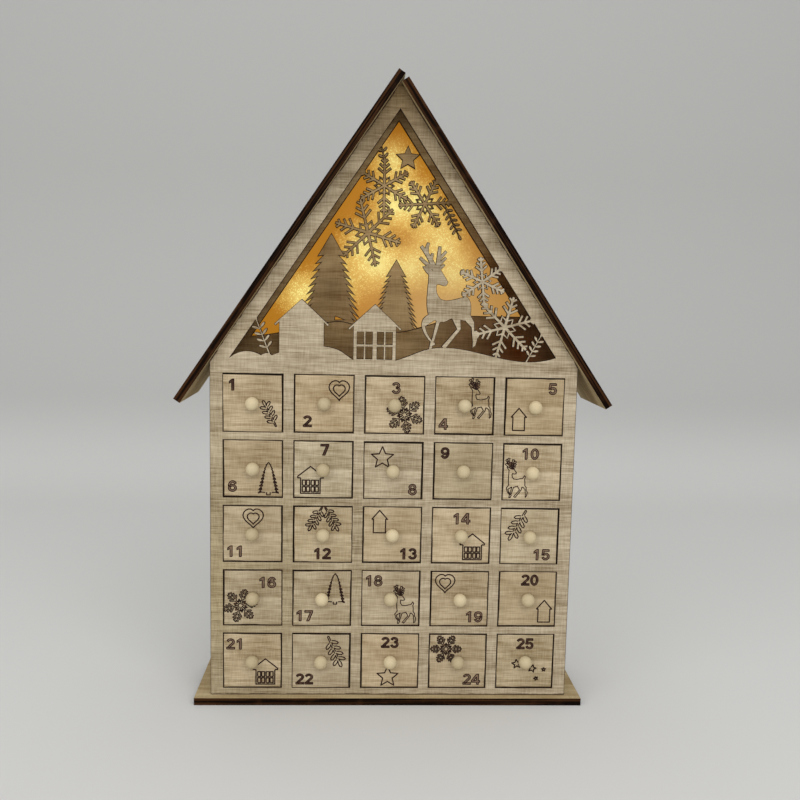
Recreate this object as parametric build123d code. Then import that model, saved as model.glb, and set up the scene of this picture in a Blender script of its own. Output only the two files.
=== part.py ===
from build123d import *
import os
from math import cos, hypot, radians, sin, tan

# A house-shaped advent calendar cut from thin ply: twenty-five drawers in an egg-crate carcass,
# a lit winter scene of two cut plates in the gable, and a battery case let into the back.
# Millimetres, X to the right, Y to the back, Z up, origin under the middle of the base plate.

# Sheets
PANEL = 3.0
BOARD = 5.0
TRAY = 2.0
FILM = 0.6

# Grid of drawer openings
COLUMNS = 5
ROWS = 5
OPENING_W = 39.8
OPENING_H = 39.0
UPRIGHT_W = 7.2
RAIL_H = 5.5
SIDE_MARGIN = 8.6
BOTTOM_MARGIN = 5.0
EAVE_MARGIN = 8.0

# House
BODY_DEPTH = 58.0
OVERHANG = 6.0
BASE_SIDE_LIP = 10.5
ROOF_PITCH = 56.0
EAVE_RUN = 33.4
RIDGE_LAP = 4.7
RIDGE_GAP = 1.2
HALF_LAP_PLAY = 0.2

# Drawer
FACE_PLAY = 0.5
FACE_LIFT = 0.5
TRAY_PLAY = 0.8
TRAY_BACK_ROOM = 7.0
TRAY_HEADROOM = 9.0
SIDE_STEP = 0.1
LIFT_STEP = 0.1
PROUD_STEP = 0.12
KNOB_R = 4.4
KNOB_SEAT_R = 3.2
KNOB_NOSE_R = 1.2
KNOB_LENGTH = 8.0
KNOB_RINGS = ((0.25, 0.95), (0.5, 1.0), (0.76, 0.84), (0.92, 0.56))
KNOB_SIDES = 10

# Gable window and the two scene plates
WINDOW_BORDER = 9.6
SCENE_BORDER = 12.0
SCENE_GAP = 15.0
SILL_MARGIN = 10.5
SILL_CUT = 2.0
FILM_LAP = 5.0
FILM_TOE = 4.0

# Front plate: snow line, houses, deer, sprigs and snowflakes, as heights above the sill
SNOW_LAP = 3.0
LEFT_DRIFT = [(-104.4, 3.1), (-98.6, 4.4), (-93.4, 3.8), (-88.9, 1.9)]
SPRIG_DRIFT = [(-88.9, 1.9), (-85.1, 3.3), (-81.6, 2.0)]
HOUSE_DRIFT = [(-81.6, 2.0), (-77.0, 3.9), (-62.0, 5.0)]
MIDDLE_DRIFT = [(-62.0, 8.6), (-47.5, 8.4), (-36.5, 5.5), (-28.0, -0.3), (-14.0, -0.6)]
RIGHT_DRIFT = [(-14.0, 0.0), (0.5, 0.0), (21.5, 7.7), (35.0, 8.9), (65.0, 3.5), (87.0, 0.3)]
LEFT_DRIFT_TIP = -3.2
RIGHT_DRIFT_TIP = 5.6
COTTAGE_EAVE_DEPTH = 2.0
COTTAGE_EAVE_NOSE = 1.0
PLAIN_HOUSE_X = -62.3
PLAIN_HOUSE_HALF = 14.8
PLAIN_HOUSE_PEAK = 39.2
PLAIN_HOUSE_SLOPE = 0.92
PLAIN_HOUSE_EAVE = 3.4
PANED_HOUSE_X = -14.0
PANED_HOUSE_HALF = 14.2
PANED_HOUSE_PEAK = 36.8
PANED_HOUSE_SLOPE = 0.92
PANED_HOUSE_EAVE = 3.6
PANE_W = 4.3
PANE_H = 8.0
PANE_COLUMNS = (-9.5, -3.75, 3.75, 9.5)
PANE_ROWS = (4.4, 14.2)
DEER_X = 35.0
DEER_FOOT = 8.9
LEFT_SPRIG_AT = (-82.9, 1.5, 111.0)
LEFT_SPRIG = (26.0, 4, 5.6)
RIGHT_SPRIG_AT = (87.3, 0.0, 62.0)
RIGHT_SPRIG = (21.0, 4, 4.6)

# Snowflakes: shapes as shares of an arm's length, and places as drop below the window's apex,
# distance clear of its sloping side, and turn
STEM_W = 2.0
BARB_W = 1.7
BARBS = 3
BARB_ANGLE = 50.0
BARB_START = 0.44
BARB_STEP = 0.2
BARB_REACH = 0.31
BARB_FALL = 0.075
PETAL_TIP = 0.4
PETAL_NOTCH = 0.25
PETAL_HOLE = (0.11, 0.2, 0.3)
PETAL_HOLE_HALF = 0.052
LOW_FLAKE = 21.0
LOW_FLAKE_AT = (139.0, 21.5, 15.0)
MIDDLE_FLAKE = 16.2
MIDDLE_FLAKE_AT = (109.2, 17.2, 36.0)
HIGH_FLAKE = 18.2
HIGH_FLAKE_AT = (42.2, 19.4, 30.0)
SIDE_FLAKE = 17.8
SIDE_FLAKE_AT = (53.6, 17.8, 4.0)
WIDE_FLAKE = 23.0
WIDE_FLAKE_FROM_HIGH = (-24.7, -21.9, 14.0)

# Back plate: ground line, firs, star and hanging sprigs
GROUND = [(-85.0, 15.0), (-60.0, 20.5), (-37.5, 24.2), (-14.0, 19.5), (3.5, 17.9), (18.0, 21.5), (36.0, 27.0)]
GROUND_LEFT = 15.0
GROUND_RIGHT = 29.8
GROUND_RIGHT_X = 51.0
FIR_TEETH = 11
FIR_TOOTH = 0.14
FIR_TOOTH_RISE = 0.8
FIR_SPIRE = 0.16
FIR_FULLNESS = 0.6
BIG_FIR_X = -44.0
BIG_FIR_TOP = 83.6
BIG_FIR_HALF = 22.4
BIG_FIR_GAP = ((-40.8, 27.7), (-35.3, 25.6), (-41.1, 25.4))
SMALL_FIR_X = 0.0
SMALL_FIR_TOP = 66.9
SMALL_FIR_HALF = 16.8
FIR_FOOT = 16.0
STAR_R = 8.6
STAR_WAIST = 0.47
STAR_POINTS = 5
STAR_AT = (24.0, 9.8, 0.0)
SIDE_SPRIG = (26.0, 5, 4.4)
SIDE_SPRIG_AT = (52.0, 4.4, -63.0)
TOP_SPRIG = (11.5, 2, 4.2)
TOP_SPRIG_FROM_HIGH = (8.0, 13.9, 73.0)
SPRIG_STEM = 1.3
SPRIG_STEM_TAPER = 0.7
SPRIG_LEAF_W = 2.0
SPRIG_LEAF_ROOT = 0.4
SPRIG_LEAF_BELLY = 0.5
SPRIG_LEAF_SHOULDER = 0.87
SPRIG_LEAF_ROUND = 0.75
SPRIG_LEAF_ANGLE = 56.0
SPRIG_BARE = 0.22
SPRIG_LEAFY = 0.68

# Lights: bead places as a share of the window's half width at that height, and of its height
BEAD_R = 1.9
BEAD_LENGTH = 3.0
BEAD_SIDES = 8
WIRE_W = 1.2
BEADS = [
    (0.58, 0.36), (0.57, 0.51), (0.43, 0.66), (-0.21, 0.84), (-0.08, 0.65),
    (-0.42, 0.49), (-0.83, 0.27), (-0.52, 0.31), (-0.17, 0.39), (0.18, 0.39),
]
WIRE_START_X = 22.0
WIRE_RISE = 14.0

# Battery case for two AA cells
CASE_WALL = 1.8
CASE_PROUD = 3.4
CELL_R = 7.1
CELL_LENGTH = 49.2
CELL_NUB_R = 2.75
CELL_NUB = 1.3
CELL_PLAY = 0.3
CONTACT = 0.5
CONTACT_W = 9.0
LEAF_REACH = 4.0
PLATE_STEP = 1.6
COVER_T = 1.6
COVER_PLAY = 0.2
GROOVE = 1.0
LIP_T = 1.2
GRIP_COUNT = 4
GRIP_PITCH = 2.4
GRIP_W = 1.0
GRIP_H = 0.7
SWITCH_BAY = 13.0
SWITCH_TRAVEL = 4.0
SLIDER_W = 3.6
SLIDER_H = 2.6
SLIDER_PROUD = 1.4
SLIDER_FLANGE = 1.2
SLIDER_FLANGE_LAP = 1.4
SWITCH_BODY_D = 4.5

# Worked out from the sizes above
PITCH_X = OPENING_W + UPRIGHT_W
PITCH_Z = OPENING_H + RAIL_H
GRID_W = (COLUMNS - 1) * PITCH_X + OPENING_W
HALF_W = GRID_W / 2 + SIDE_MARGIN
INNER_HALF = HALF_W - PANEL
GRID_BOTTOM = BOARD + BOTTOM_MARGIN
GRID_TOP = GRID_BOTTOM + (ROWS - 1) * PITCH_Z + OPENING_H
LOFT_TOP = GRID_BOTTOM + ROWS * PITCH_Z
EAVE_Z = GRID_TOP + EAVE_MARGIN
SLOPE = tan(radians(ROOF_PITCH))
ROOF_RUN = HALF_W / cos(radians(ROOF_PITCH)) + EAVE_RUN
RIDGE_Z = EAVE_Z + HALF_W * SLOPE
FRONT = -BODY_DEPTH / 2
BACK = BODY_DEPTH / 2
INNER_FRONT = FRONT + PANEL
INNER_BACK = BACK - PANEL
TRAY_DEPTH = INNER_BACK - INNER_FRONT - TRAY_BACK_ROOM
TRAY_HEIGHT = OPENING_H - TRAY_HEADROOM
SILL_Z = GRID_TOP + SILL_MARGIN
SCENE_FRONT = INNER_FRONT + SCENE_GAP
FILM_FRONT = SCENE_FRONT + PANEL
FILM_BACK = FILM_FRONT + FILM
CASE_BACK = BACK + CASE_PROUD
GROOVE_BACK = CASE_BACK - LIP_T
GROOVE_FRONT = GROOVE_BACK - COVER_T - 2 * COVER_PLAY
CASE_FLOOR = GROOVE_FRONT - 2 * CELL_R - CELL_PLAY
CASE_FRONT = CASE_FLOOR - CASE_WALL
BAY_LOW = LOFT_TOP + CASE_WALL
BAY_HIGH = BAY_LOW + 4 * CELL_R + 3 * CELL_PLAY
BAY_MIDDLE = (BAY_LOW + BAY_HIGH) / 2
BAY_LENGTH = LEAF_REACH + CELL_LENGTH + CELL_NUB + PLATE_STEP
CASE_HALF = (BAY_LENGTH + SWITCH_BAY + 3 * CASE_WALL) / 2
BAY_LEFT = -CASE_HALF + CASE_WALL
BAY_RIGHT = BAY_LEFT + BAY_LENGTH
CELL_Y = CASE_FLOOR + CELL_R + CELL_PLAY / 2
CELL_Z = CELL_R + CELL_PLAY / 2
SWITCH_LEFT = BAY_RIGHT + CASE_WALL
SWITCH_RIGHT = SWITCH_LEFT + SWITCH_BAY
SLIDER_X = (SWITCH_LEFT + SWITCH_RIGHT - SWITCH_TRAVEL) / 2
FLANGE_BACK = CASE_BACK - CASE_WALL - COVER_PLAY
FLANGE_FRONT = FLANGE_BACK - SLIDER_FLANGE


def block(x, y, z):
    """A square-edged board from a low and high pair along each axis."""
    size = [high - low for low, high in (x, y, z)]
    centre = [(high + low) / 2 for low, high in (x, y, z)]
    return Pos(*centre) * Box(*size)


def plate(outline, front, thickness):
    """A sheet cut to an outline drawn in X and Z, with its front face at the given Y."""
    return extrude(Plane.XZ.offset(-(front + thickness)) * outline, amount=thickness)


def shape(*points):
    """A straight-sided outline through the points as given."""
    return make_face(Polyline(*points, close=True))


def ribbon(points, widths):
    """A curved strip along the points, with its own width at each."""
    left, right = [], []
    last = len(points) - 1
    for i, (x, z) in enumerate(points):
        ahead, behind = points[min(i + 1, last)], points[max(i - 1, 0)]
        dx, dz = ahead[0] - behind[0], ahead[1] - behind[1]
        reach = widths[i] / 2 / hypot(dx, dz)
        left.append((x - dz * reach, z + dx * reach))
        right.append((x + dz * reach, z - dx * reach))
    if last == 1:
        return shape(*left, *reversed(right))
    right.reverse()
    edges = [Spline(*left), Line(left[-1], right[0]), Spline(*right), Line(right[-1], left[0])]
    return make_face(edges)


def column_x(column):
    """Middle of a column of drawers, counted from the left."""
    return (column - (COLUMNS - 1) / 2) * PITCH_X


def shelf_top(level):
    """Top of a shelf, counted up from the lowest."""
    return GRID_BOTTOM + level * PITCH_Z


def gable(half, low):
    """House outline under the roof boards, down to the given height."""
    shoulder = RIDGE_Z - half * SLOPE
    return shape((-half, low), (half, low), (half, shoulder), (0, RIDGE_Z), (-half, shoulder))


def window_apex(border):
    """Top of a window that leaves a border of that width along the roof."""
    return RIDGE_Z - border / cos(radians(ROOF_PITCH))


def window(border, low):
    """Triangular window with its sides parallel to the roof."""
    apex = window_apex(border)
    half = (apex - low) / SLOPE
    return shape((-half, low), (half, low), (0, apex))


def turned(x, z, turn):
    """A place in a plate's drawing, with a turn in degrees."""
    return Pos(x, z) * Rot(0, 0, turn)


def off_slope(border, side, place):
    """A place below a window's apex, clear of its sloping side by so much in X, with a turn."""
    drop, clear, turn = place
    return turned(side * (drop / SLOPE - clear), window_apex(border) - drop, turn)


def drift(points, low):
    """Ground with a curved top line, filled down to the given height."""
    first, last = points[0], points[-1]
    top = Spline(*points)
    return make_face([top, Polyline(last, (last[0], low), (first[0], low), first)])


def cottage(half, peak, slope, eave):
    """Front of a small house rooted in the snow: walls, gable and a roof line that oversails them."""
    tip = half + eave
    nose = tip - COTTAGE_EAVE_NOSE
    under = peak - COTTAGE_EAVE_DEPTH
    wall = [(half, -SILL_CUT), (half, under - slope * half)]
    side = wall + [(nose, under - slope * nose), (tip, peak - slope * tip)]
    return shape(*side, (0, peak), *[(-x, z) for x, z in reversed(side)])


def deer():
    """Striding deer, drawn up from the crest of the snow."""
    torso = make_face([
        Spline((-14.3, 47.5), (-14.8, 38.0), (-15.0, 27.0), (-13.9, 21.2)),
        Spline((-13.9, 21.2), (-8.5, 17.4), (-2.4, 17.0), (1.6, 19.0), (11.0, 18.0), (14.4, 20.5)),
        Spline((14.4, 20.5), (14.5, 26.0), (13.5, 31.3), (11.7, 33.7)),
        Spline((11.7, 33.7), (8.3, 33.3), (0.3, 31.3), (-5.8, 32.0)),
        Spline((-5.8, 32.0), (-7.9, 34.7), (-8.9, 39.5)),
        Spline((-8.9, 39.5), (-8.2, 41.4), (-5.2, 40.8), (-2.0, 41.3)),
        Polyline((-2.0, 41.3), (-1.1, 43.0), (-6.5, 51.6), (-12.0, 50.8)),
        Spline((-12.0, 50.8), (-15.0, 53.4), (-18.5, 53.0)),
        Spline((-18.5, 53.0), (-16.8, 50.2), (-14.3, 47.5)),
    ])
    bent_leg = make_face([
        Spline((-13.9, 21.6), (-18.2, 15.8), (-16.2, 8.6), (-12.2, 3.6)),
        Polyline((-12.2, 3.6), (-13.2, -1.5), (-11.2, -1.5), (-10.4, 1.0)),
        Polyline((-10.4, 1.0), (-8.9, 1.4), (-8.7, 2.8), (-10.3, 3.8)),
        Spline((-10.3, 3.8), (-13.8, 8.6), (-15.7, 13.6)),
        Polyline((-15.7, 13.6), (-8.5, 18.6), (-13.9, 21.6)),
    ])
    straight_leg = shape((-8.3, 18.4), (-5.4, 18.4), (-9.8, 3.0), (-11.6, 3.4))
    near_hind = shape((1.4, 20.0), (7.6, 20.0), (8.1, 12.2), (-2.0, -1.0), (-4.8, 0.4), (5.3, 12.4))
    far_hind = shape(
        (10.0, 20.0), (14.4, 21.5), (16.9, 17.1), (17.1, 11.7), (19.9, 8.7),
        (18.2, 1.6), (15.8, -0.5), (16.0, 3.6), (14.9, 13.6), (11.0, 17.4),
    )
    antlers = [
        ribbon([(-9.8, 50.5), (-13.9, 58.5), (-19.6, 66.3)], [3.6, 3.1, 2.2]),
        ribbon([(-15.4, 60.0), (-15.8, 64.5), (-14.7, 68.6)], [2.4, 2.5, 1.9]),
        ribbon([(-12.9, 56.5), (-12.0, 61.8)], [2.4, 1.8]),
        ribbon([(-9.4, 51.2), (-14.8, 54.2), (-20.2, 58.8)], [3.0, 2.7, 2.0]),
        ribbon([(-8.6, 49.5), (-7.9, 58.0), (-7.2, 66.3)], [3.4, 2.9, 2.1]),
        ribbon([(-7.8, 57.6), (-2.9, 63.2)], [2.4, 1.8]),
        ribbon([(-7.9, 54.2), (-3.0, 59.0)], [2.4, 1.8]),
        ribbon([(-8.2, 50.8), (-4.0, 54.6)], [2.4, 1.8]),
    ]
    return Sketch() + [torso, bent_leg, straight_leg, near_hind, far_hind] + antlers


def snowflake(arm):
    """Six barbed arms between the points of a star of open petals, one arm along X, as long as arm."""
    petals = []
    for turn in range(6):
        for reach, angle in ((PETAL_NOTCH, 60 * turn), (PETAL_TIP, 60 * turn + 30)):
            petals.append((arm * reach * cos(radians(angle)), arm * reach * sin(radians(angle))))
    near, middle, far = [arm * share for share in PETAL_HOLE]
    half = arm * PETAL_HOLE_HALF
    hole = shape((near, 0), (middle, half), (far, 0), (middle, -half))
    limb = [ribbon([(arm * PETAL_NOTCH - STEM_W, 0), (arm, 0)], [STEM_W, STEM_W])]
    for i in range(BARBS):
        barb = ribbon([(0, 0), (arm * (BARB_REACH - BARB_FALL * i), 0)], [BARB_W, BARB_W])
        root = arm * (BARB_START + BARB_STEP * i)
        limb += [turned(root, 0, side * BARB_ANGLE) * barb for side in (-1, 1)]
    flower = shape(*petals) - [Rot(0, 0, 60 * turn + 30) * hole for turn in range(6)]
    return flower + [Rot(0, 0, 60 * turn) * piece for turn in range(6) for piece in limb]


def sprig(length, pairs, leaf):
    """Thin stem along X with paired round-ended leaves and one at the tip."""
    half = SPRIG_LEAF_W / 2
    root = half * SPRIG_LEAF_ROOT
    belly = leaf * SPRIG_LEAF_BELLY
    rim = [(0, root), (belly, half), (leaf * SPRIG_LEAF_SHOULDER, half * SPRIG_LEAF_ROUND)]
    blade = shape(*rim, (leaf, 0), *[(x, -z) for x, z in reversed(rim)])
    stem = ribbon([(0, 0), (length, 0)], [SPRIG_STEM, SPRIG_STEM * SPRIG_STEM_TAPER])
    pieces = [stem, Pos(length - leaf + belly, 0) * blade]
    for i in range(pairs):
        along = length * (SPRIG_BARE + SPRIG_LEAFY * i / pairs)
        pieces += [turned(along, 0, side * SPRIG_LEAF_ANGLE) * blade for side in (-1, 1)]
    return Sketch() + pieces


def fir(top, half):
    """Conifer whose toothed sides droop towards the foot, drawn up from the sill on its centre line."""
    side = [(0, top)]
    for i in range(FIR_TEETH):
        share = FIR_SPIRE + (1 - FIR_SPIRE) * (i + 1) / FIR_TEETH
        reach = half * share ** FIR_FULLNESS
        z = top - (top - FIR_FOOT) * share
        depth = FIR_TOOTH * half * (1 + share)
        side += [(reach, z), (reach - depth, z + depth * FIR_TOOTH_RISE * share)]
    side[-1] = (0, FIR_FOOT)
    return shape(*side, *[(-x, z) for x, z in reversed(side[1:-1])])


def star():
    """Five-pointed star with one point up."""
    tips = []
    for i in range(2 * STAR_POINTS):
        reach = STAR_R if i % 2 == 0 else STAR_R * STAR_WAIST
        turn = radians(180 * i / STAR_POINTS)
        tips.append((-reach * sin(turn), reach * cos(turn)))
    return shape(*tips)


def front_panel():
    """House front with the drawer openings and the nearer half of the winter scene."""
    low = SILL_Z - SILL_CUT
    sill = Pos(0, SILL_Z)
    edge = window_apex(WINDOW_BORDER)
    left_tip = (-(edge - SILL_Z) / SLOPE - SNOW_LAP, LEFT_DRIFT_TIP)
    right_tip = ((edge - SILL_Z) / SLOPE + SNOW_LAP, RIGHT_DRIFT_TIP)
    openings = [
        Pos(column_x(c), shelf_top(r) + OPENING_H / 2) * Rectangle(OPENING_W, OPENING_H)
        for c in range(COLUMNS) for r in range(ROWS)
    ]
    outline = gable(HALF_W, BOARD) - window(WINDOW_BORDER, low)
    snow = [[left_tip] + LEFT_DRIFT, SPRIG_DRIFT, HOUSE_DRIFT, MIDDLE_DRIFT, RIGHT_DRIFT + [right_tip]]
    outline += [sill * drift(points, -2 * SILL_CUT) for points in snow]
    outline += sill * Pos(PLAIN_HOUSE_X, 0) * cottage(
        PLAIN_HOUSE_HALF, PLAIN_HOUSE_PEAK, PLAIN_HOUSE_SLOPE, PLAIN_HOUSE_EAVE)
    outline += sill * Pos(PANED_HOUSE_X, 0) * cottage(
        PANED_HOUSE_HALF, PANED_HOUSE_PEAK, PANED_HOUSE_SLOPE, PANED_HOUSE_EAVE)
    outline -= [
        sill * Pos(PANED_HOUSE_X + x, z) * Rectangle(PANE_W, PANE_H)
        for x in PANE_COLUMNS for z in PANE_ROWS
    ]
    outline += sill * Pos(DEER_X, DEER_FOOT) * deer()
    outline += off_slope(WINDOW_BORDER, 1, LOW_FLAKE_AT) * snowflake(LOW_FLAKE)
    outline += off_slope(WINDOW_BORDER, 1, MIDDLE_FLAKE_AT) * snowflake(MIDDLE_FLAKE)
    outline += sill * turned(*LEFT_SPRIG_AT) * sprig(*LEFT_SPRIG)
    outline += sill * turned(*RIGHT_SPRIG_AT) * sprig(*RIGHT_SPRIG)
    return plate(outline - openings, FRONT, PANEL)


def scene_panel():
    """Plate behind the window with the farther half of the winter scene."""
    sill = Pos(0, SILL_Z)
    whole = gable(INNER_HALF, LOFT_TOP)
    foot = LOFT_TOP - SILL_Z
    ends = [(-INNER_HALF, GROUND_LEFT), (GROUND_RIGHT_X, GROUND_RIGHT)]
    ground = sill * drift([ends[0]] + GROUND + [ends[1]], foot)
    ground += sill * shape((GROUND_RIGHT_X, foot), (INNER_HALF, foot), (INNER_HALF, GROUND_RIGHT), ends[1])
    outline = whole - window(SCENE_BORDER, SILL_Z) + (ground & whole)
    outline += sill * Pos(BIG_FIR_X, 0) * fir(BIG_FIR_TOP, BIG_FIR_HALF)
    outline += sill * Pos(SMALL_FIR_X, 0) * fir(SMALL_FIR_TOP, SMALL_FIR_HALF)
    outline -= sill * shape(*BIG_FIR_GAP)
    outline += off_slope(SCENE_BORDER, 1, STAR_AT) * star()
    high = off_slope(SCENE_BORDER, -1, HIGH_FLAKE_AT)
    outline += high * snowflake(HIGH_FLAKE)
    outline += high * turned(*WIDE_FLAKE_FROM_HIGH) * snowflake(WIDE_FLAKE)
    outline += off_slope(SCENE_BORDER, 1, SIDE_FLAKE_AT) * snowflake(SIDE_FLAKE)
    outline += off_slope(SCENE_BORDER, 1, SIDE_SPRIG_AT) * sprig(*SIDE_SPRIG)
    outline += high * turned(*TOP_SPRIG_FROM_HIGH) * sprig(*TOP_SPRIG)
    return plate(outline, SCENE_FRONT, PANEL)


def roof_board(side, start):
    """Roof board on one side, from so far down the slope from the ridge to the eave."""
    along = (side * cos(radians(ROOF_PITCH)), -sin(radians(ROOF_PITCH)))
    out = (side * BOARD * sin(radians(ROOF_PITCH)), BOARD * cos(radians(ROOF_PITCH)))
    under = [(along[0] * run, RIDGE_Z + along[1] * run) for run in (start, ROOF_RUN)]
    over = [(x + out[0], z + out[1]) for x, z in under]
    return plate(shape(*under, *reversed(over)), FRONT - OVERHANG, BODY_DEPTH + 2 * OVERHANG)


def divider_x(i):
    """Middle of an upright divider, counted from the left."""
    return (column_x(i) + column_x(i + 1)) / 2


def shelf(level):
    """Shelf with slots from the back that the dividers drop into."""
    z = (shelf_top(level) - PANEL, shelf_top(level))
    solid = block((-INNER_HALF, INNER_HALF), (INNER_FRONT, INNER_BACK), z)
    half_slot = (PANEL + HALF_LAP_PLAY) / 2
    for i in range(COLUMNS - 1):
        x = divider_x(i)
        solid -= block((x - half_slot, x + half_slot), (0, INNER_BACK), z)
    return solid


def divider(i):
    """Upright divider with slots from the front that take the shelves."""
    x = (divider_x(i) - PANEL / 2, divider_x(i) + PANEL / 2)
    solid = block(x, (INNER_FRONT, INNER_BACK), (BOARD, LOFT_TOP - PANEL))
    for level in range(ROWS):
        z = (shelf_top(level) - PANEL - HALF_LAP_PLAY / 2, shelf_top(level) + HALF_LAP_PLAY / 2)
        solid -= block(x, (INNER_FRONT, 0), z)
    return solid


def knob():
    """Small turned bead with a flat seat, its seat at the origin and its nose towards the front."""
    rings = [(0, KNOB_SEAT_R)]
    rings += [(KNOB_LENGTH * along, KNOB_R * share) for along, share in KNOB_RINGS]
    rings += [(KNOB_LENGTH, KNOB_NOSE_R)]
    turns = [radians(360 * i / KNOB_SIDES) for i in range(KNOB_SIDES)]
    return ConvexPolyhedron([(r * cos(turn), -y, r * sin(turn)) for y, r in rings for turn in turns])


def drawer(column, row):
    """One drawer: face, two sides, back, floor and knob, each set with a little hand-made play."""
    number = row * COLUMNS + column
    x = column_x(column) + (number * 5 % 7 - 3) * SIDE_STEP
    proud = (number * 3 % 5 - 2) * PROUD_STEP
    z = shelf_top(ROWS - 1 - row)
    face_z = z + FACE_LIFT + (number * 4 % 7 - 3) * LIFT_STEP
    half_face = OPENING_W / 2 - FACE_PLAY
    half_tray = OPENING_W / 2 - TRAY_PLAY
    face_back = INNER_FRONT + proud
    tray_back = face_back + TRAY_DEPTH
    walls = (z, z + TRAY_HEIGHT)
    inside = (x - half_tray + TRAY, x + half_tray - TRAY)
    face_height = OPENING_H - 2 * FACE_PLAY
    seat = Pos(x, face_back - PANEL, face_z + face_height / 2)
    return Compound([
        block((x - half_face, x + half_face), (face_back - PANEL, face_back), (face_z, face_z + face_height)),
        block((x - half_tray, inside[0]), (face_back, tray_back), walls),
        block((inside[1], x + half_tray), (face_back, tray_back), walls),
        block(inside, (tray_back - TRAY, tray_back), walls),
        block(inside, (face_back, tray_back - TRAY), (z, z + TRAY)),
        seat * knob(),
    ])


def lights():
    """Light beads stuck to the back of the film, and the wire that joins them to the battery case."""
    height = window_apex(SCENE_BORDER) - SILL_Z
    places = [(across * height * (1 - up) / SLOPE, SILL_Z + height * up) for across, up in BEADS]
    bead = extrude(Plane.XZ * RegularPolygon(BEAD_R, BEAD_SIDES), amount=-BEAD_LENGTH)
    beads = Compound([Pos(x, FILM_BACK, z) * bead for x, z in places])
    y = FILM_BACK + BEAD_LENGTH + WIRE_W / 2
    start = (WIRE_START_X, CASE_FRONT, BAY_MIDDLE)
    route = [start, (WIRE_START_X, y, BAY_MIDDLE), (WIRE_START_X, y, BAY_MIDDLE + WIRE_RISE)]
    route += [(x, y, z) for x, z in places]
    section = Plane(origin=start, x_dir=(1, 0, 0), z_dir=(0, -1, 0)) * Rectangle(WIRE_W, WIRE_W)
    return beads, sweep(section, path=Polyline(*route), transition=Transition.RIGHT)


def battery_case():
    """Open tray for two cells with a cover groove, and a closed end for the switch."""
    bay_z = (BAY_LOW, BAY_HIGH)
    low, high = BAY_LOW - CASE_WALL, BAY_HIGH + CASE_WALL
    case = block((-CASE_HALF, CASE_HALF), (CASE_FRONT, CASE_BACK), (low, high))
    case -= block((BAY_LEFT, BAY_RIGHT), (CASE_FLOOR, CASE_BACK), bay_z)
    case -= block((-CASE_HALF, BAY_LEFT), (GROOVE_FRONT, CASE_BACK), bay_z)
    case -= block((-CASE_HALF, BAY_RIGHT), (GROOVE_FRONT, GROOVE_BACK), (BAY_LOW - GROOVE, BAY_HIGH + GROOVE))
    case -= block((SWITCH_LEFT, SWITCH_RIGHT), (CASE_FLOOR, CASE_BACK - CASE_WALL), bay_z)
    slot_x = (SLIDER_X - SLIDER_W / 2 - COVER_PLAY, SLIDER_X + SWITCH_TRAVEL + SLIDER_W / 2 + COVER_PLAY)
    half_slot = SLIDER_H / 2 + COVER_PLAY
    slot_z = (BAY_MIDDLE - half_slot, BAY_MIDDLE + half_slot)
    return case - block(slot_x, (CASE_BACK - CASE_WALL, CASE_BACK), slot_z)


def battery_cover():
    """Sliding cover: a flange that runs in the case's grooves, a raised middle and finger ridges."""
    x = (-CASE_HALF, BAY_RIGHT - COVER_PLAY)
    flange_y = (GROOVE_FRONT + COVER_PLAY, GROOVE_BACK - COVER_PLAY)
    tongue = GROOVE - COVER_PLAY
    cover = block(x, flange_y, (BAY_LOW - tongue, BAY_HIGH + tongue))
    cover += block(x, (flange_y[1], CASE_BACK), (BAY_LOW + COVER_PLAY, BAY_HIGH - COVER_PLAY))
    ridge_z = (BAY_MIDDLE - GRIP_PITCH * GRIP_COUNT, BAY_MIDDLE + GRIP_PITCH * GRIP_COUNT)
    for i in range(GRIP_COUNT):
        left = BAY_LEFT + (i + 1) * GRIP_PITCH
        cover += block((left, left + GRIP_W), (CASE_BACK, CASE_BACK + GRIP_H), ridge_z)
    return cover


def battery_cells():
    """Two AA cells side by side, nose to tail."""
    can = extrude(Circle(CELL_R), amount=CELL_LENGTH)
    nub = extrude(Circle(CELL_NUB_R), amount=CELL_LENGTH + CELL_NUB)
    cell = Rot(0, 90, 0) * (can + nub)
    upper = Pos(BAY_LEFT + LEAF_REACH, CELL_Y, BAY_MIDDLE + CELL_Z) * cell
    lower = Pos(BAY_RIGHT - LEAF_REACH, CELL_Y, BAY_MIDDLE - CELL_Z) * Rot(0, 0, 180) * cell
    return Compound([upper, lower])


def contact_leaf():
    """Sprung finger for a cell's flat end, standing on the wall at X = 0 and reaching along X."""
    low, high = -CONTACT_W / 2, CONTACT_W / 2
    finger = [(CONTACT, low), (LEAF_REACH, 0), (LEAF_REACH - CONTACT, CONTACT), (CONTACT, low + 3 * CONTACT)]
    profile = shape((0, low), *finger, (CONTACT, high), (0, high))
    return Pos(0, 0, low) * extrude(profile, amount=CONTACT_W)


def contact_plate():
    """Stepped plate for a cell's nub, standing on the wall at X = 0 and reaching along X."""
    half = CONTACT_W / 2
    step = CELL_NUB_R
    plate_back = block((0, CONTACT), (-half, half), (-half, half))
    return plate_back + block((CONTACT, PLATE_STEP), (-step, step), (-step, step))


def contacts(piece, upper_wall_left):
    """One contact on each end wall of the bay, the one for the upper cell on the side named."""
    left = Pos(BAY_LEFT, CELL_Y, BAY_MIDDLE + (CELL_Z if upper_wall_left else -CELL_Z))
    right = Pos(BAY_RIGHT, CELL_Y, BAY_MIDDLE + (-CELL_Z if upper_wall_left else CELL_Z))
    return Compound([left * piece, right * Rot(0, 0, 180) * piece])


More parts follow.
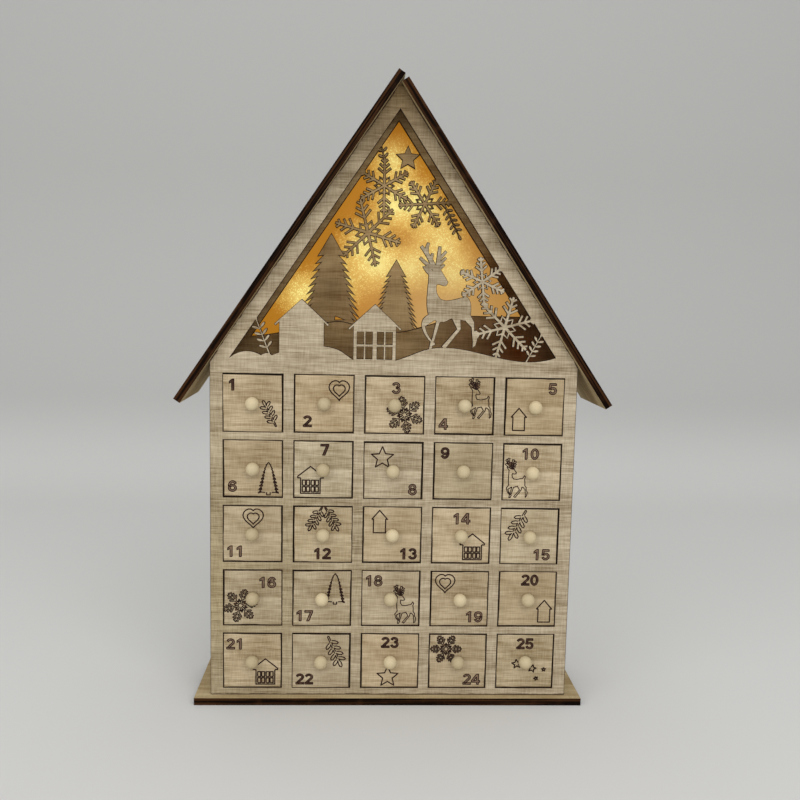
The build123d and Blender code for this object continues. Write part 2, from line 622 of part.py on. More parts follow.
def switch_slider():
    """Thumb slider with a flange that keeps it behind the case's slot."""
    stem_half, stem_z = SLIDER_W / 2, SLIDER_H / 2
    slider = block((SLIDER_X - stem_half, SLIDER_X + stem_half), (FLANGE_BACK, CASE_BACK + SLIDER_PROUD),
                   (BAY_MIDDLE - stem_z, BAY_MIDDLE + stem_z))
    flange_half, flange_z = stem_half + SLIDER_FLANGE_LAP, stem_z + SLIDER_FLANGE_LAP
    return slider + block((SLIDER_X - flange_half, SLIDER_X + flange_half), (FLANGE_FRONT, FLANGE_BACK),
                          (BAY_MIDDLE - flange_z, BAY_MIDDLE + flange_z))


def switch_body():
    """Switch block wedged across the closed end, just under the slider."""
    back = FLANGE_FRONT - COVER_PLAY
    half = SLIDER_H / 2 + SLIDER_FLANGE_LAP
    z = (BAY_MIDDLE - half, BAY_MIDDLE + half)
    return block((SWITCH_LEFT, SWITCH_RIGHT), (back - SWITCH_BODY_D, back), z)


def back_panel():
    """House back with a cut-out that the battery case stands in."""
    half = CASE_HALF + COVER_PLAY
    top = BAY_HIGH + CASE_WALL + COVER_PLAY
    cut = shape((-half, LOFT_TOP), (half, LOFT_TOP), (half, top), (-half, top))
    return plate(gable(HALF_W, BOARD) - cut, INNER_BACK, PANEL)


def nodes():
    """Every piece of the calendar by its name."""
    beads, wire = lights()
    wall_y = (INNER_FRONT, INNER_BACK)
    base_half = HALF_W + BASE_SIDE_LIP
    pieces = {
        "base_plate": block((-base_half, base_half), (FRONT - OVERHANG, BACK + OVERHANG), (0, BOARD)),
        "front_panel": front_panel(),
        "back_panel": back_panel(),
        "side_left": block((-HALF_W, -INNER_HALF), wall_y, (BOARD, EAVE_Z)),
        "side_right": block((INNER_HALF, HALF_W), wall_y, (BOARD, EAVE_Z)),
        "roof_left": roof_board(-1, -RIDGE_LAP),
        "roof_right": roof_board(1, RIDGE_GAP),
        "loft_floor": block((-INNER_HALF, INNER_HALF), wall_y, (LOFT_TOP - PANEL, LOFT_TOP)),
        "scene_panel": scene_panel(),
        "glow_film": plate(window(SCENE_BORDER - FILM_LAP, SILL_Z + FILM_TOE), FILM_FRONT, FILM),
        "led_beads": beads,
        "led_wire": wire,
        "battery_case": battery_case(),
        "battery_cover": battery_cover(),
        "battery_cells": battery_cells(),
        "contact_leaves": contacts(contact_leaf(), True),
        "contact_plates": contacts(contact_plate(), False),
        "switch_slider": switch_slider(),
        "switch_body": switch_body(),
    }
    for level in range(ROWS):
        pieces[f"shelf_{level + 1}"] = shelf(level)
    for i in range(COLUMNS - 1):
        pieces[f"divider_{i + 1}"] = divider(i)
    for row in range(ROWS):
        for column in range(COLUMNS):
            pieces[f"drawer_{row * COLUMNS + column + 1:02d}"] = drawer(column, row)
    return pieces


os.makedirs("parts", exist_ok=True)
for name, piece in nodes().items():
    export_step(piece, f"parts/{name}.step")
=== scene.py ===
"""Looks of the wooden advent calendar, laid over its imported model."""

import logging
import math
import random
from collections.abc import Callable, Iterable
from dataclasses import dataclass, field
from enum import Enum

import bmesh
import bpy
from mathutils import Matrix, Vector


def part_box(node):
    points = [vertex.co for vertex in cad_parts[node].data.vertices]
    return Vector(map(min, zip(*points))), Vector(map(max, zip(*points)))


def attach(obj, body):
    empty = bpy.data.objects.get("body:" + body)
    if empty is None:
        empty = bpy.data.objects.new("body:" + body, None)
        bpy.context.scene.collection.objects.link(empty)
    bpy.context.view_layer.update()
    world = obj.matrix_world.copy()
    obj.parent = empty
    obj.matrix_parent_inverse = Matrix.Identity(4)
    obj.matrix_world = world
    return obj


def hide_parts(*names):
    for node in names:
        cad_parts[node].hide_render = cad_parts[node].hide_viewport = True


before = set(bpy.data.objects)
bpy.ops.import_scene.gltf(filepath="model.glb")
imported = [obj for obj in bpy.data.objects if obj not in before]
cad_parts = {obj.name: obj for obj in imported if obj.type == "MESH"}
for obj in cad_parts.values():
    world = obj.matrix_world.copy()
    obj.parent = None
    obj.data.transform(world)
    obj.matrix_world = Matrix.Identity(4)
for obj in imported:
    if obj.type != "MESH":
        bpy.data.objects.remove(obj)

MM = 0.001
WELD = 1e-6
RIM_LIFT = 0.02 * MM
ROOF_PITCH = 56.0
CARCASS = "carcass"

Material = bpy.types.Material
Socket = bpy.types.NodeSocket
Outputs = bpy.types.NodeOutputs
Shape = bmesh.types.BMesh
Triple = tuple[float, float, float]
Colour = tuple[float, float, float, float]
Point = tuple[float, float]
Stroke = tuple[list[Point], bool]
Outline = list[Stroke]
log = logging.getLogger("calendar")


def paint(red: int, green: int, blue: int) -> Colour:
    """Turn screen values into the linear colour that a socket takes.

    Args:
        red: Red from 0 to 255.
        green: Green from 0 to 255.
        blue: Blue from 0 to 255.

    Returns:
        The linear colour, opaque.
    """
    def part(value: int) -> float:
        """One channel, from screen to linear."""
        share = value / 255
        return share / 12.92 if share <= 0.04045 else ((share + 0.055) / 1.055) ** 2.4

    return part(red), part(green), part(blue), 1.0


class Lie(Enum):
    """How a board lies: the turn, in degrees, that brings its run to X and its thickness to Z."""

    FACING = (90.0, 0.0, 0.0)
    STANDING = (0.0, 90.0, 0.0)
    FLAT = (0.0, 0.0, 0.0)
    LEFT_SLOPE = (0.0, ROOF_PITCH, 0.0)
    RIGHT_SLOPE = (0.0, -ROOF_PITCH, 0.0)

    @property
    def turn(self) -> Vector:
        """The turn in radians."""
        return Vector([math.radians(angle) for angle in self.value])


class Port(Enum):
    """Kinds of socket on a shared effect."""

    VALUE = "NodeSocketFloat"
    COLOUR = "NodeSocketColor"
    VECTOR = "NodeSocketVector"


class Wiring:
    """A shader node tree with short ways to add nodes and join them."""

    def __init__(self, tree: bpy.types.NodeTree) -> None:
        """Keep the tree that is wired."""
        self.tree = tree

    def feed(self, socket: Socket, value: object) -> None:
        """Link a socket into another, or set its plain value.

        Args:
            socket: The input that is fed.
            value: An output socket, or a plain value.
        """
        if isinstance(value, Socket):
            self.tree.links.new(value, socket)
        else:
            socket.default_value = value

    def node(self, kind: str, feeds: dict | None = None, **settings: object) -> bpy.types.Node:
        """Add a node.

        Args:
            kind: Blender's name of the node.
            feeds: Values or sockets by input name or number.
            settings: The node's own settings.

        Returns:
            The node.
        """
        made = self.tree.nodes.new(kind)
        for name, value in settings.items():
            setattr(made, name, value)
        for name, value in (feeds or {}).items():
            self.feed(made.inputs[name], value)
        return made

    def math(self, act: str, first: object, second: object = 0.0, clamp: bool = False) -> Socket:
        """One sum on values.

        Args:
            act: Blender's name of the sum.
            first: First value or socket.
            second: Second value or socket.
            clamp: Whether the result stays from 0 to 1.

        Returns:
            The result's socket.
        """
        return self.node("ShaderNodeMath", {0: first, 1: second}, operation=act, use_clamp=clamp).outputs[0]

    def vector(self, act: str, first: object, second: object) -> bpy.types.Node:
        """One sum on vectors, as its node, since a length and a vector come from different outputs."""
        return self.node("ShaderNodeVectorMath", {0: first, 1: second}, operation=act)

    def noise(self, vector: object, scale: float = 1.0, detail: float = 2.0,
              rough: float = 0.5) -> Socket:
        """Soft noise.

        Args:
            vector: Where it is read.
            scale: Cells to the metre.
            detail: Layers of finer noise.
            rough: Weight of the finer layers.

        Returns:
            The noise from 0 to 1.
        """
        feeds = {"Vector": vector, "Scale": scale, "Detail": detail, "Roughness": rough}
        return self.node("ShaderNodeTexNoise", feeds).outputs["Fac"]

    def remap(self, value: object, low: float, high: float, start: float = 0.0,
              end: float = 1.0) -> Socket:
        """Carry a value smoothly from one range to another.

        Args:
            value: The value's socket.
            low: Low end of its range.
            high: High end of its range.
            start: Result at the low end.
            end: Result at the high end.

        Returns:
            The result's socket.
        """
        feeds = {"Value": value, "From Min": low, "From Max": high, "To Min": start, "To Max": end}
        return self.node("ShaderNodeMapRange", feeds, interpolation_type="SMOOTHSTEP").outputs[0]

    def blend(self, share: object, first: object, second: object, mode: str = "MIX") -> Socket:
        """Blend two colours.

        Args:
            share: How much of the second.
            first: First colour or socket.
            second: Second colour or socket.
            mode: Blender's name of the blend.

        Returns:
            The colour's socket.
        """
        feeds = {0: share, 6: first, 7: second}
        return self.node("ShaderNodeMix", feeds, data_type="RGBA", blend_type=mode).outputs[2]

    def axes(self, vector: object) -> Outputs:
        """A vector's X, Y and Z, each by itself."""
        return self.node("ShaderNodeSeparateXYZ", {0: vector}).outputs

    def bump(self, height: object, strength: float, depth: float = 0.2 * MM) -> Socket:
        """A normal that follows a height, as relief of that depth in metres."""
        feeds = {"Strength": strength, "Distance": depth, "Height": height}
        return self.node("ShaderNodeBump", feeds).outputs[0]

    def weighed(self, first: object, share: float, second: object, rest: float) -> Socket:
        """Two values, each times its weight, in one sum."""
        return self.math("ADD", self.math("MULTIPLY", first, share), self.math("MULTIPLY", second, rest))

    def stretched(self, vector: object, along: float, across: float, through: float) -> Socket:
        """Scale a position by its own amount on each axis."""
        return self.vector("MULTIPLY", vector, (along, across, through)).outputs[0]

    def place(self, lie: Lie, centre: Iterable[float] = (0, 0, 0)) -> tuple[Socket, Socket]:
        """Object position and normal, turned so that a board's run is X and its thickness Z.

        Args:
            lie: How the board lies.
            centre: The point that becomes the origin, in metres.

        Returns:
            Position and normal.
        """
        source = self.node("ShaderNodeTexCoord")
        moved = self.vector("SUBTRACT", source.outputs["Object"], tuple(centre)).outputs[0]
        turn = tuple(lie.turn)
        spot = self.node("ShaderNodeMapping", {"Vector": moved, "Rotation": turn})
        facing = self.node("ShaderNodeMapping", {"Vector": source.outputs["Normal"], "Rotation": turn},
                           vector_type="NORMAL")
        return spot.outputs[0], facing.outputs[0]


class Effect:
    """A shader node group that several finishes share."""

    name: str = ""
    takes: dict[str, Port] = {}
    gives: dict[str, Port] = {}

    def __init__(self) -> None:
        """Build the group once, with its sockets and nodes."""
        self.tree = bpy.data.node_groups.new(self.name, "ShaderNodeTree")
        for ports, way in ((self.takes, "INPUT"), (self.gives, "OUTPUT")):
            for name, port in ports.items():
                self.tree.interface.new_socket(name=name, in_out=way, socket_type=port.value)
        wiring = Wiring(self.tree)
        ins = wiring.node("NodeGroupInput")
        outs = wiring.node("NodeGroupOutput")
        for name, socket in self.wire(wiring, ins.outputs).items():
            wiring.feed(outs.inputs[name], socket)

    def wire(self, wiring: Wiring, ins: Outputs) -> dict[str, Socket]:
        """Wire the inside of the group.

        Args:
            wiring: The group's own tree.
            ins: The group's inputs, as seen inside.

        Returns:
            What feeds each output.
        """
        raise NotImplementedError

    def into(self, wiring: Wiring, **feeds: object) -> Outputs:
        """Place the group in a material.

        Args:
            wiring: The material's tree.
            feeds: Values or sockets for the group's inputs.

        Returns:
            The group's outputs.
        """
        made = wiring.node("ShaderNodeGroup", node_tree=self.tree)
        for name, value in feeds.items():
            wiring.feed(made.inputs[name], value)
        return made.outputs


class Grain(Effect):
    """Fine veneer: fibres along X, fainter cross rays, broad clouds and a few dark flecks.

    Each pattern has its cells to the metre along, across and through the board, and its weight.
    """

    name = "veneer_grain"
    takes = {"Vector": Port.VECTOR, "Pale": Port.COLOUR, "Brown": Port.COLOUR, "Contrast": Port.VALUE,
             "Broad": Port.VALUE}
    gives = {"Color": Port.COLOUR, "Roughness": Port.VALUE, "Height": Port.VALUE}
    FIBRE, FIBRE_SHARE = (70, 1500, 300), 0.55
    RAY, RAY_SHARE = (1300, 110, 300), 0.24
    CLOUD, CLOUD_SHARE = (24, 60, 40), 0.60
    BAND, BAND_SHARE = (9, 260, 60), 0.45
    FLECK, FLECK_SHARE = (220, 1100, 300), 0.25

    def wire(self, wiring: Wiring, ins: Outputs) -> dict[str, Socket]:
        """Wire fibres, rays, clouds and flecks into one tone.

        Args:
            wiring: The group's own tree.
            ins: The group's inputs, as seen inside.

        Returns:
            What feeds each output.
        """
        spot = ins["Vector"]
        fibre = wiring.noise(wiring.stretched(spot, *self.FIBRE), detail=3, rough=0.6)
        ray = wiring.noise(wiring.stretched(spot, *self.RAY), detail=2)
        cloud = wiring.noise(wiring.stretched(spot, *self.CLOUD), detail=3)
        band = wiring.noise(wiring.stretched(spot, *self.BAND), detail=2)
        fleck = wiring.remap(wiring.noise(wiring.stretched(spot, *self.FLECK), detail=1), 0.72, 0.80)
        weave = wiring.weighed(fibre, self.FIBRE_SHARE, ray, self.RAY_SHARE)
        broad = wiring.weighed(cloud, self.CLOUD_SHARE, band, self.BAND_SHARE)
        broad = wiring.math("SUBTRACT", broad, (self.CLOUD_SHARE + self.BAND_SHARE) / 2)
        tone = wiring.math("SUBTRACT", weave, (self.FIBRE_SHARE + self.RAY_SHARE) / 2)
        tone = wiring.math("ADD", tone, wiring.math("MULTIPLY", broad, ins["Broad"]))
        swing = wiring.math("MULTIPLY", tone, ins["Contrast"])
        dark = wiring.math("MULTIPLY", fleck, self.FLECK_SHARE)
        share = wiring.math("ADD", wiring.math("ADD", swing, 0.5), dark, clamp=True)
        return {
            "Color": wiring.blend(share, ins["Pale"], ins["Brown"]),
            "Roughness": wiring.remap(weave, 0.2, 0.7, 0.62, 0.8),
            "Height": weave,
        }


class Scorch(Effect):
    """Laser-cut edges: burnt wherever a face turns from the board's flat, with the ply's layers in it."""

    name = "burnt_edge"
    takes = {"Vector": Port.VECTOR, "Normal": Port.VECTOR, "Char": Port.COLOUR, "Brown": Port.COLOUR}
    gives = {"Mask": Port.VALUE, "Color": Port.COLOUR}
    LAYERS, SOOT = (14, 14, 620), (160, 160, 160)
    GLUE = (0.2 * MM, 0.8 * MM)

    def wire(self, wiring: Wiring, ins: Outputs) -> dict[str, Socket]:
        """Wire the edge mask, the streaks along the layers and a dark middle glue line.

        Args:
            wiring: The group's own tree.
            ins: The group's inputs, as seen inside.

        Returns:
            What feeds each output.
        """
        flat = wiring.math("ABSOLUTE", wiring.axes(ins["Normal"])["Z"])
        layers = wiring.noise(wiring.stretched(ins["Vector"], *self.LAYERS), detail=1)
        soot = wiring.noise(wiring.stretched(ins["Vector"], *self.SOOT), detail=3)
        depth = wiring.math("ABSOLUTE", wiring.axes(ins["Vector"])["Z"])
        brown = wiring.math("MULTIPLY", wiring.remap(layers, 0.38, 0.6), wiring.remap(depth, *self.GLUE))
        share = wiring.math("ADD", brown, wiring.remap(soot, 0.5, 0.8, 0, 0.35), clamp=True)
        return {
            "Mask": wiring.remap(flat, 0.35, 0.75, 1, 0),
            "Color": wiring.blend(share, ins["Char"], ins["Brown"]),
        }


class Rim(Effect):
    """Thin broken scorch line just inside a rectangle's border."""

    name = "burnt_rim"
    takes = {"Vector": Port.VECTOR, "Whereabouts": Port.VECTOR, "Half": Port.VECTOR, "Width": Port.VALUE}
    gives = {"Mask": Port.VALUE}
    UNEVEN = 48

    def wire(self, wiring: Wiring, ins: Outputs) -> dict[str, Socket]:
        """Wire the distance to the nearest border, made uneven.

        Args:
            wiring: The group's own tree.
            ins: The group's inputs, as seen inside.

        Returns:
            What feeds each output.
        """
        away = wiring.vector("ABSOLUTE", ins["Vector"], (0, 0, 0)).outputs[0]
        inside = wiring.axes(wiring.vector("SUBTRACT", ins["Half"], away).outputs[0])
        nearest = wiring.math("MINIMUM", inside["X"], inside["Y"])
        uneven = wiring.noise(ins["Whereabouts"], self.UNEVEN, detail=2)
        reach = wiring.math("MULTIPLY", ins["Width"], wiring.remap(uneven, 0.36, 0.64, 0.3, 1.7))
        return {"Mask": wiring.remap(wiring.math("DIVIDE", nearest, reach), 0.55, 1.1, 1, 0)}


class Seam(Effect):
    """Thin broken dark line where a gabled board meets the roof and the base, partly scorch and partly
    painted shade in the joint.
    """

    name = "burnt_and_shaded_seam"
    takes = {"Vector": Port.VECTOR, "Peak": Port.VALUE, "Foot": Port.VALUE, "Width": Port.VALUE}
    gives = {"Mask": Port.VALUE}
    UNEVEN = (120, 120, 120)

    def wire(self, wiring: Wiring, ins: Outputs) -> dict[str, Socket]:
        """Wire the distance to the slopes and the foot, made uneven.

        Args:
            wiring: The group's own tree.
            ins: The group's inputs, as seen inside.

        Returns:
            What feeds each output.
        """
        at = wiring.axes(ins["Vector"])
        pitch = math.radians(ROOF_PITCH)
        drop = wiring.math("MULTIPLY", wiring.math("SUBTRACT", ins["Peak"], at["Z"]), math.cos(pitch))
        aside = wiring.math("MULTIPLY", wiring.math("ABSOLUTE", at["X"]), math.sin(pitch))
        slope = wiring.math("SUBTRACT", drop, aside)
        foot = wiring.math("SUBTRACT", at["Z"], ins["Foot"])
        uneven = wiring.noise(wiring.stretched(ins["Vector"], *self.UNEVEN), detail=3)
        broken = wiring.math("DIVIDE", slope, wiring.remap(uneven, 0.38, 0.58, 0.15, 1.2))
        whole = wiring.math("DIVIDE", foot, wiring.remap(uneven, 0.35, 0.6, 0.8, 1.4))
        nearest = wiring.math("DIVIDE", wiring.math("MINIMUM", broken, whole), ins["Width"])
        return {"Mask": wiring.remap(nearest, 0.6, 1.1, 1, 0)}


class Glow(Effect):
    """Soft round fall-off about one point: a painted pool of light on the film, and the mask of a tone
    patch.
    """

    name = "light_glow"
    takes = {"Vector": Port.VECTOR, "Centre": Port.VECTOR, "Reach": Port.VALUE}
    gives = {"Glow": Port.VALUE}
    FALL = 1.8

    def wire(self, wiring: Wiring, ins: Outputs) -> dict[str, Socket]:
        """Wire a fall-off that is steep near the light and long at its foot.

        Args:
            wiring: The group's own tree.
            ins: The group's inputs, as seen inside.

        Returns:
            What feeds each output.
        """
        far = wiring.vector("DISTANCE", ins["Vector"], ins["Centre"]).outputs["Value"]
        near = wiring.math("SUBTRACT", 1.0, wiring.math("DIVIDE", far, ins["Reach"]), clamp=True)
        return {"Glow": wiring.math("POWER", near, self.FALL)}


@dataclass(frozen=True)
class Stain:
    """A soft round patch that tints a board or the film, here mostly as painted shade."""

    at: Triple
    reach: float
    tint: Colour

    def over(self, wiring: Wiring, spot: Socket, colour: Socket, mode: str = "MIX") -> Socket:
        """Lay the patch over a colour.

        Args:
            wiring: The material's tree.
            spot: Object position.
            colour: The colour below.
            mode: Blender's name of the blend.

        Returns:
            The colour's socket.
        """
        share = SHARED.glow.into(wiring, Vector=spot, Centre=self.at, Reach=self.reach)["Glow"]
        return wiring.blend(share, colour, self.tint, mode)


@dataclass(frozen=True)
class Ply:
    """Thin veneered board, pale on its flats and burnt on its cut edges."""

    name: str
    pale: Colour
    brown: Colour
    char: Colour = paint(34, 20, 11)
    toast: Colour = paint(84, 52, 27)
    contrast: float = 2.8
    broad: float = 1.0
    bump: float = 0.12
    burn: float = 1.0
    gloss: float = 0.06
    # Round patches multiplied over the grain; on the front panel and the scene plate most are painted shade.
    stains: tuple[Stain, ...] = ()
    # Peak and foot of a gable's seam lines, which are partly scorch and partly painted shade in the joints,
    # and their width; line sets how dark the seam and rim lines are.
    gable: tuple[float, float] | None = None
    seam_w: float = 0.8 * MM
    line: float = 0.85

    def make(self, lie: Lie, centre: Iterable[float] = (0, 0, 0), rim: Triple | None = None) -> Material:
        """Make the material for boards that lie one way.

        Args:
            lie: How the board lies.
            centre: Origin of the pattern, in metres.
            rim: Half width, half height and width of a scorched rim, in metres.

        Returns:
            The material.
        """
        material = fresh(f"{self.name}_{lie.name.lower()}")
        wiring = Wiring(material.node_tree)
        spot, facing = wiring.place(lie, centre)
        grain = SHARED.grain.into(wiring, Vector=spot, Pale=self.pale, Brown=self.brown,
                                  Contrast=self.contrast, Broad=self.broad)
        edge = SHARED.scorch.into(wiring, Vector=spot, Normal=facing, Char=self.char, Brown=self.toast)
        burnt = wiring.math("MULTIPLY", edge["Mask"], self.burn)
        here = wiring.node("ShaderNodeTexCoord").outputs["Object"]
        tone = grain["Color"]
        # Tone patches, most of them painted shade, multiply the grain's colour.
        for tone_patch in self.stains:
            tone = tone_patch.over(wiring, here, tone, "MULTIPLY")
        lines = []
        # A gable's seam line is partly scorch and partly painted shade where the board meets the roof and
        # the base.
        if self.gable:
            peak, foot = self.gable
            lines.append(SHARED.seam.into(wiring, Vector=here, Peak=peak, Foot=foot, Width=self.seam_w))
        if rim:
            half = (rim[0], rim[1], 0)
            lines.append(SHARED.rim.into(wiring, Vector=spot, Whereabouts=here, Half=half, Width=rim[2]))
        for line in lines:
            burnt = wiring.math("MAXIMUM", burnt, wiring.math("MULTIPLY", line["Mask"], self.line))
        shade(wiring, {
            "Base Color": wiring.blend(burnt, tone, edge["Color"]),
            "Roughness": grain["Roughness"],
            "Specular IOR Level": self.gloss,
            "Normal": wiring.bump(grain["Height"], self.bump),
        })
        return material


@dataclass(frozen=True)
class AmberFilm:
    """Glittered amber film whose glow from the small lights behind it is painted into its emission, with
    painted glints and painted shade.
    """

    name: str = "amber_film"
    # Colours of the painted glow, from its dim foot to its brightest near a bead, and how far each bead's
    # painted pool of light reaches.
    deep: Colour = paint(168, 112, 24)
    warm: Colour = paint(216, 178, 88)
    bright: Colour = paint(252, 242, 150)
    reach: float = 28 * MM
    # Patches of painted shade that dim the painted glow low on the right and at the apex.
    dulled: tuple[Stain, ...] = (Stain((0.035, -0.008, 0.262), 0.100, paint(196, 164, 108)),
                                 Stain((0.0, -0.008, 0.398), 0.045, paint(150, 94, 16)))
    # Strength of the painted glow, and painted glow laid evenly over the whole film.
    strength: float = 0.95
    faint: float = 0.11
    creases: Triple = (70, 70, 70)
    flakes: float = 1500.0
    body: Colour = paint(84, 48, 8)
    crest: Colour = paint(116, 72, 18)
    CREASE_SHARE, SPARKLE_SHARE, EVEN = 0.8, 0.5, 0.35

    def make(self, lights: list[Vector]) -> Material:
        """Make the material.

        Args:
            lights: Where the lights are, in metres.

        Returns:
            The material.
        """
        material = fresh(self.name)
        wiring = Wiring(material.node_tree)
        spot = wiring.node("ShaderNodeTexCoord").outputs["Object"]
        # Painted pools of light, one about each bead.
        glow: object = 0.0
        for bead in lights:
            one = SHARED.glow.into(wiring, Vector=spot, Centre=tuple(bead), Reach=self.reach)["Glow"]
            glow = wiring.math("ADD", glow, one)
        crease = wiring.noise(wiring.stretched(spot, *self.creases), detail=4, rough=0.65)
        flake = wiring.node("ShaderNodeTexVoronoi", {"Vector": spot, "Scale": self.flakes})
        lit = wiring.node("ShaderNodeSeparateColor", {0: flake.outputs["Color"]}).outputs[0]
        # Painted glints where the glitter flakes catch the light; with the creases they make the painted
        # glow uneven.
        sparkle = wiring.remap(lit, 0.6, 0.97)
        rough = wiring.weighed(crease, self.CREASE_SHARE, sparkle, self.SPARKLE_SHARE)
        light = wiring.math("ADD", glow, self.faint)
        level = wiring.math("MULTIPLY", light, wiring.math("ADD", rough, self.EVEN))
        low = wiring.blend(wiring.remap(level, 0.13, 0.55), self.deep, self.warm)
        colour = wiring.blend(wiring.remap(level, 0.45, 1.1), low, self.bright)
        # Painted shade over the painted glow.
        for patch in self.dulled:
            colour = patch.over(wiring, spot, colour)
        shade(wiring, {
            "Base Color": wiring.blend(crease, self.body, self.crest),
            "Roughness": 0.42,
            "Specular IOR Level": 0.15,
            "Emission Color": colour,
            "Emission Strength": self.strength,
            "Normal": wiring.bump(lit, 0.4, 0.4 * MM),
        })
        return material


@dataclass(frozen=True)
class Turned:
    """Small turned beads of pale wood."""

    name: str
    pale: Colour = paint(220, 205, 170)
    brown: Colour = paint(198, 180, 142)

    def make(self) -> Material:
        """Make the material, its rings across the bead.

        Returns:
            The material.
        """
        material, wiring, spot = begun(self.name)
        grain = SHARED.grain.into(wiring, Vector=spot, Pale=self.pale, Brown=self.brown,
                                  Contrast=1.0, Broad=1.0)
        shade(wiring, {"Base Color": grain["Color"], "Roughness": grain["Roughness"],
                       "Specular IOR Level": 0.3, "Normal": wiring.bump(grain["Height"], 0.08)})
        return material


@dataclass(frozen=True)
class Engraved:
    """Lines burnt into a face by a laser."""

    name: str = "burnt_line"
    dark: Colour = paint(38, 22, 16)
    faded: Colour = paint(78, 54, 38)
    FADE = 420

    def make(self) -> Material:
        """Make the material, darker and lighter along a line.

        Returns:
            The material.
        """
        material, wiring, spot = begun(self.name, Lie.FACING)
        fade = wiring.remap(wiring.noise(spot, self.FADE, detail=3), 0.45, 0.75)
        shade(wiring, {"Base Color": wiring.blend(fade, self.dark, self.faded),
                       "Roughness": wiring.remap(fade, 0, 1, 0.85, 0.7), "Specular IOR Level": 0.15})
        return material


@dataclass(frozen=True)
class Moulded:
    """Moulded plastic with a fine spark-eroded skin."""

    name: str
    body: Colour
    worn: Colour
    roughness: float = 0.45
    SKIN, CLOUD = 2600, 90

    def make(self) -> Material:
        """Make the material.

        Returns:
            The material.
        """
        material, wiring, spot = begun(self.name)
        skin = wiring.noise(spot, self.SKIN, detail=2)
        cloud = wiring.remap(wiring.noise(spot, self.CLOUD, detail=3), 0.4, 0.75)
        shade(wiring, {
            "Base Color": wiring.blend(cloud, self.body, self.worn),
            "Roughness": wiring.remap(skin, 0.3, 0.7, self.roughness, self.roughness + 0.15),
            "Normal": wiring.bump(skin, 0.25, 0.1 * MM),
        })
        return material


@dataclass(frozen=True)
class Metal:
    """Plated or bare metal with fine scratches."""

    name: str
    bright: Colour
    dull: Colour
    roughness: float = 0.28
    SCRATCH = (90, 2400, 2400)

    def make(self) -> Material:
        """Make the material.

        Returns:
            The material.
        """
        material, wiring, spot = begun(self.name)
        scratch = wiring.noise(wiring.stretched(spot, *self.SCRATCH), detail=2)
        shade(wiring, {
            "Base Color": wiring.blend(wiring.remap(scratch, 0.35, 0.7), self.bright, self.dull),
            "Metallic": 1.0,
            "Roughness": wiring.remap(scratch, 0.3, 0.7, self.roughness, self.roughness + 0.14),
        })
        return material


@dataclass(frozen=True)
class LitBead:
    """Warm light bead in clear resin."""

    name: str = "light_bead"
    core: Colour = paint(255, 226, 140)
    skin: Colour = paint(250, 190, 80)
    SWIRL = 700

    def make(self) -> Material:
        """Make the material, uneven as cast resin is.

        Returns:
            The material.
        """
        material, wiring, spot = begun(self.name)
        swirl = wiring.noise(spot, self.SWIRL, detail=2)
        colour = wiring.blend(swirl, self.core, self.skin)
        shade(wiring, {"Base Color": colour, "Roughness": 0.2, "Coat Weight": 0.5,
                       "Emission Color": colour, "Emission Strength": 1.2})
        return material


def fresh(name: str) -> Material:
    """Start an empty node material.

    Args:
        name: Its name.

    Returns:
        The material.
    """
    material = bpy.data.materials.new(name)
    material.use_nodes = True
    material.node_tree.nodes.clear()
    return material


def begun(name: str, lie: Lie = Lie.FLAT) -> tuple[Material, Wiring, Socket]:
    """Begin a material whose pattern lies one way.

    Args:
        name: The material's name.
        lie: How the pattern lies.

    Returns:
        The empty material, its wiring and the position that the pattern reads.
    """
    material = fresh(name)
    wiring = Wiring(material.node_tree)
    return material, wiring, wiring.place(lie)[0]


def shade(wiring: Wiring, feeds: dict[str, object]) -> None:
    """End a material in a Principled shader, fed by values or sockets."""
    shader = wiring.node("ShaderNodeBsdfPrincipled", feeds)
    wiring.node("ShaderNodeOutputMaterial", {"Surface": shader.outputs[0]})


class SharedEffects:
    """The node groups that the finishes share, each built once."""

    def __init__(self) -> None:
        """Build every group."""
        self.grain = Grain()
        self.scorch = Scorch()
        self.rim = Rim()
        self.seam = Seam()
        self.glow = Glow()


SHARED = SharedEffects()


def dress(node: str, *materials: Material) -> None:
    """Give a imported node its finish.

    Args:
        node: The node's name.
        materials: What its slots get.
    """
    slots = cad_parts[node].data.materials
    slots.clear()
    for material in materials:
        slots.append(material)
    log.info("%s dressed in %s", node, materials[0].name)


def islands(shape: Shape) -> list[list[bmesh.types.BMVert]]:
    """Split a mesh into its loose parts.

    Args:
        shape: A mesh with its doubles merged.

    Returns:
        The vertices of each part.
    """
    left = set(shape.verts)
    parts = []
    for start in shape.verts:
        if start not in left:
            continue
        left.discard(start)
        part, open_ends = [start], [start]
        while open_ends:
            for edge in open_ends.pop().link_edges:
                for vert in edge.verts:
                    if vert in left:
                        left.discard(vert)
                        part.append(vert)
                        open_ends.append(vert)
        parts.append(part)
    return parts


def merged_copy(node: str) -> Shape:
    """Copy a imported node's mesh with its loose triangles joined up.

    Args:
        node: The node's name.

    Returns:
        The copy.
    """
    shape = bmesh.new()
    shape.from_mesh(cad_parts[node].data)
    bmesh.ops.remove_doubles(shape, verts=shape.verts, dist=WELD)
    return shape


def settled(shape: Shape, name: str, smooth: bool = False) -> bpy.types.Mesh:
    """Turn a finished bmesh into a mesh.

    Args:
        shape: The bmesh, which is freed.
        name: The mesh's name.
        smooth: Whether it is shaded smooth.

    Returns:
        The mesh.
    """
    mesh = bpy.data.meshes.new(name)
    shape.to_mesh(mesh)
    shape.free()
    if smooth:
        mesh.shade_smooth()
    return mesh


def middle(node: str) -> Vector:
    """Mean of a packed board's corners, half-way through its thickness.

    Args:
        node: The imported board.

    Returns:
        The point, in metres.
    """
    shape = merged_copy(node)
    point = sum((vert.co for vert in shape.verts), Vector()) / len(shape.verts)
    shape.free()
    return point


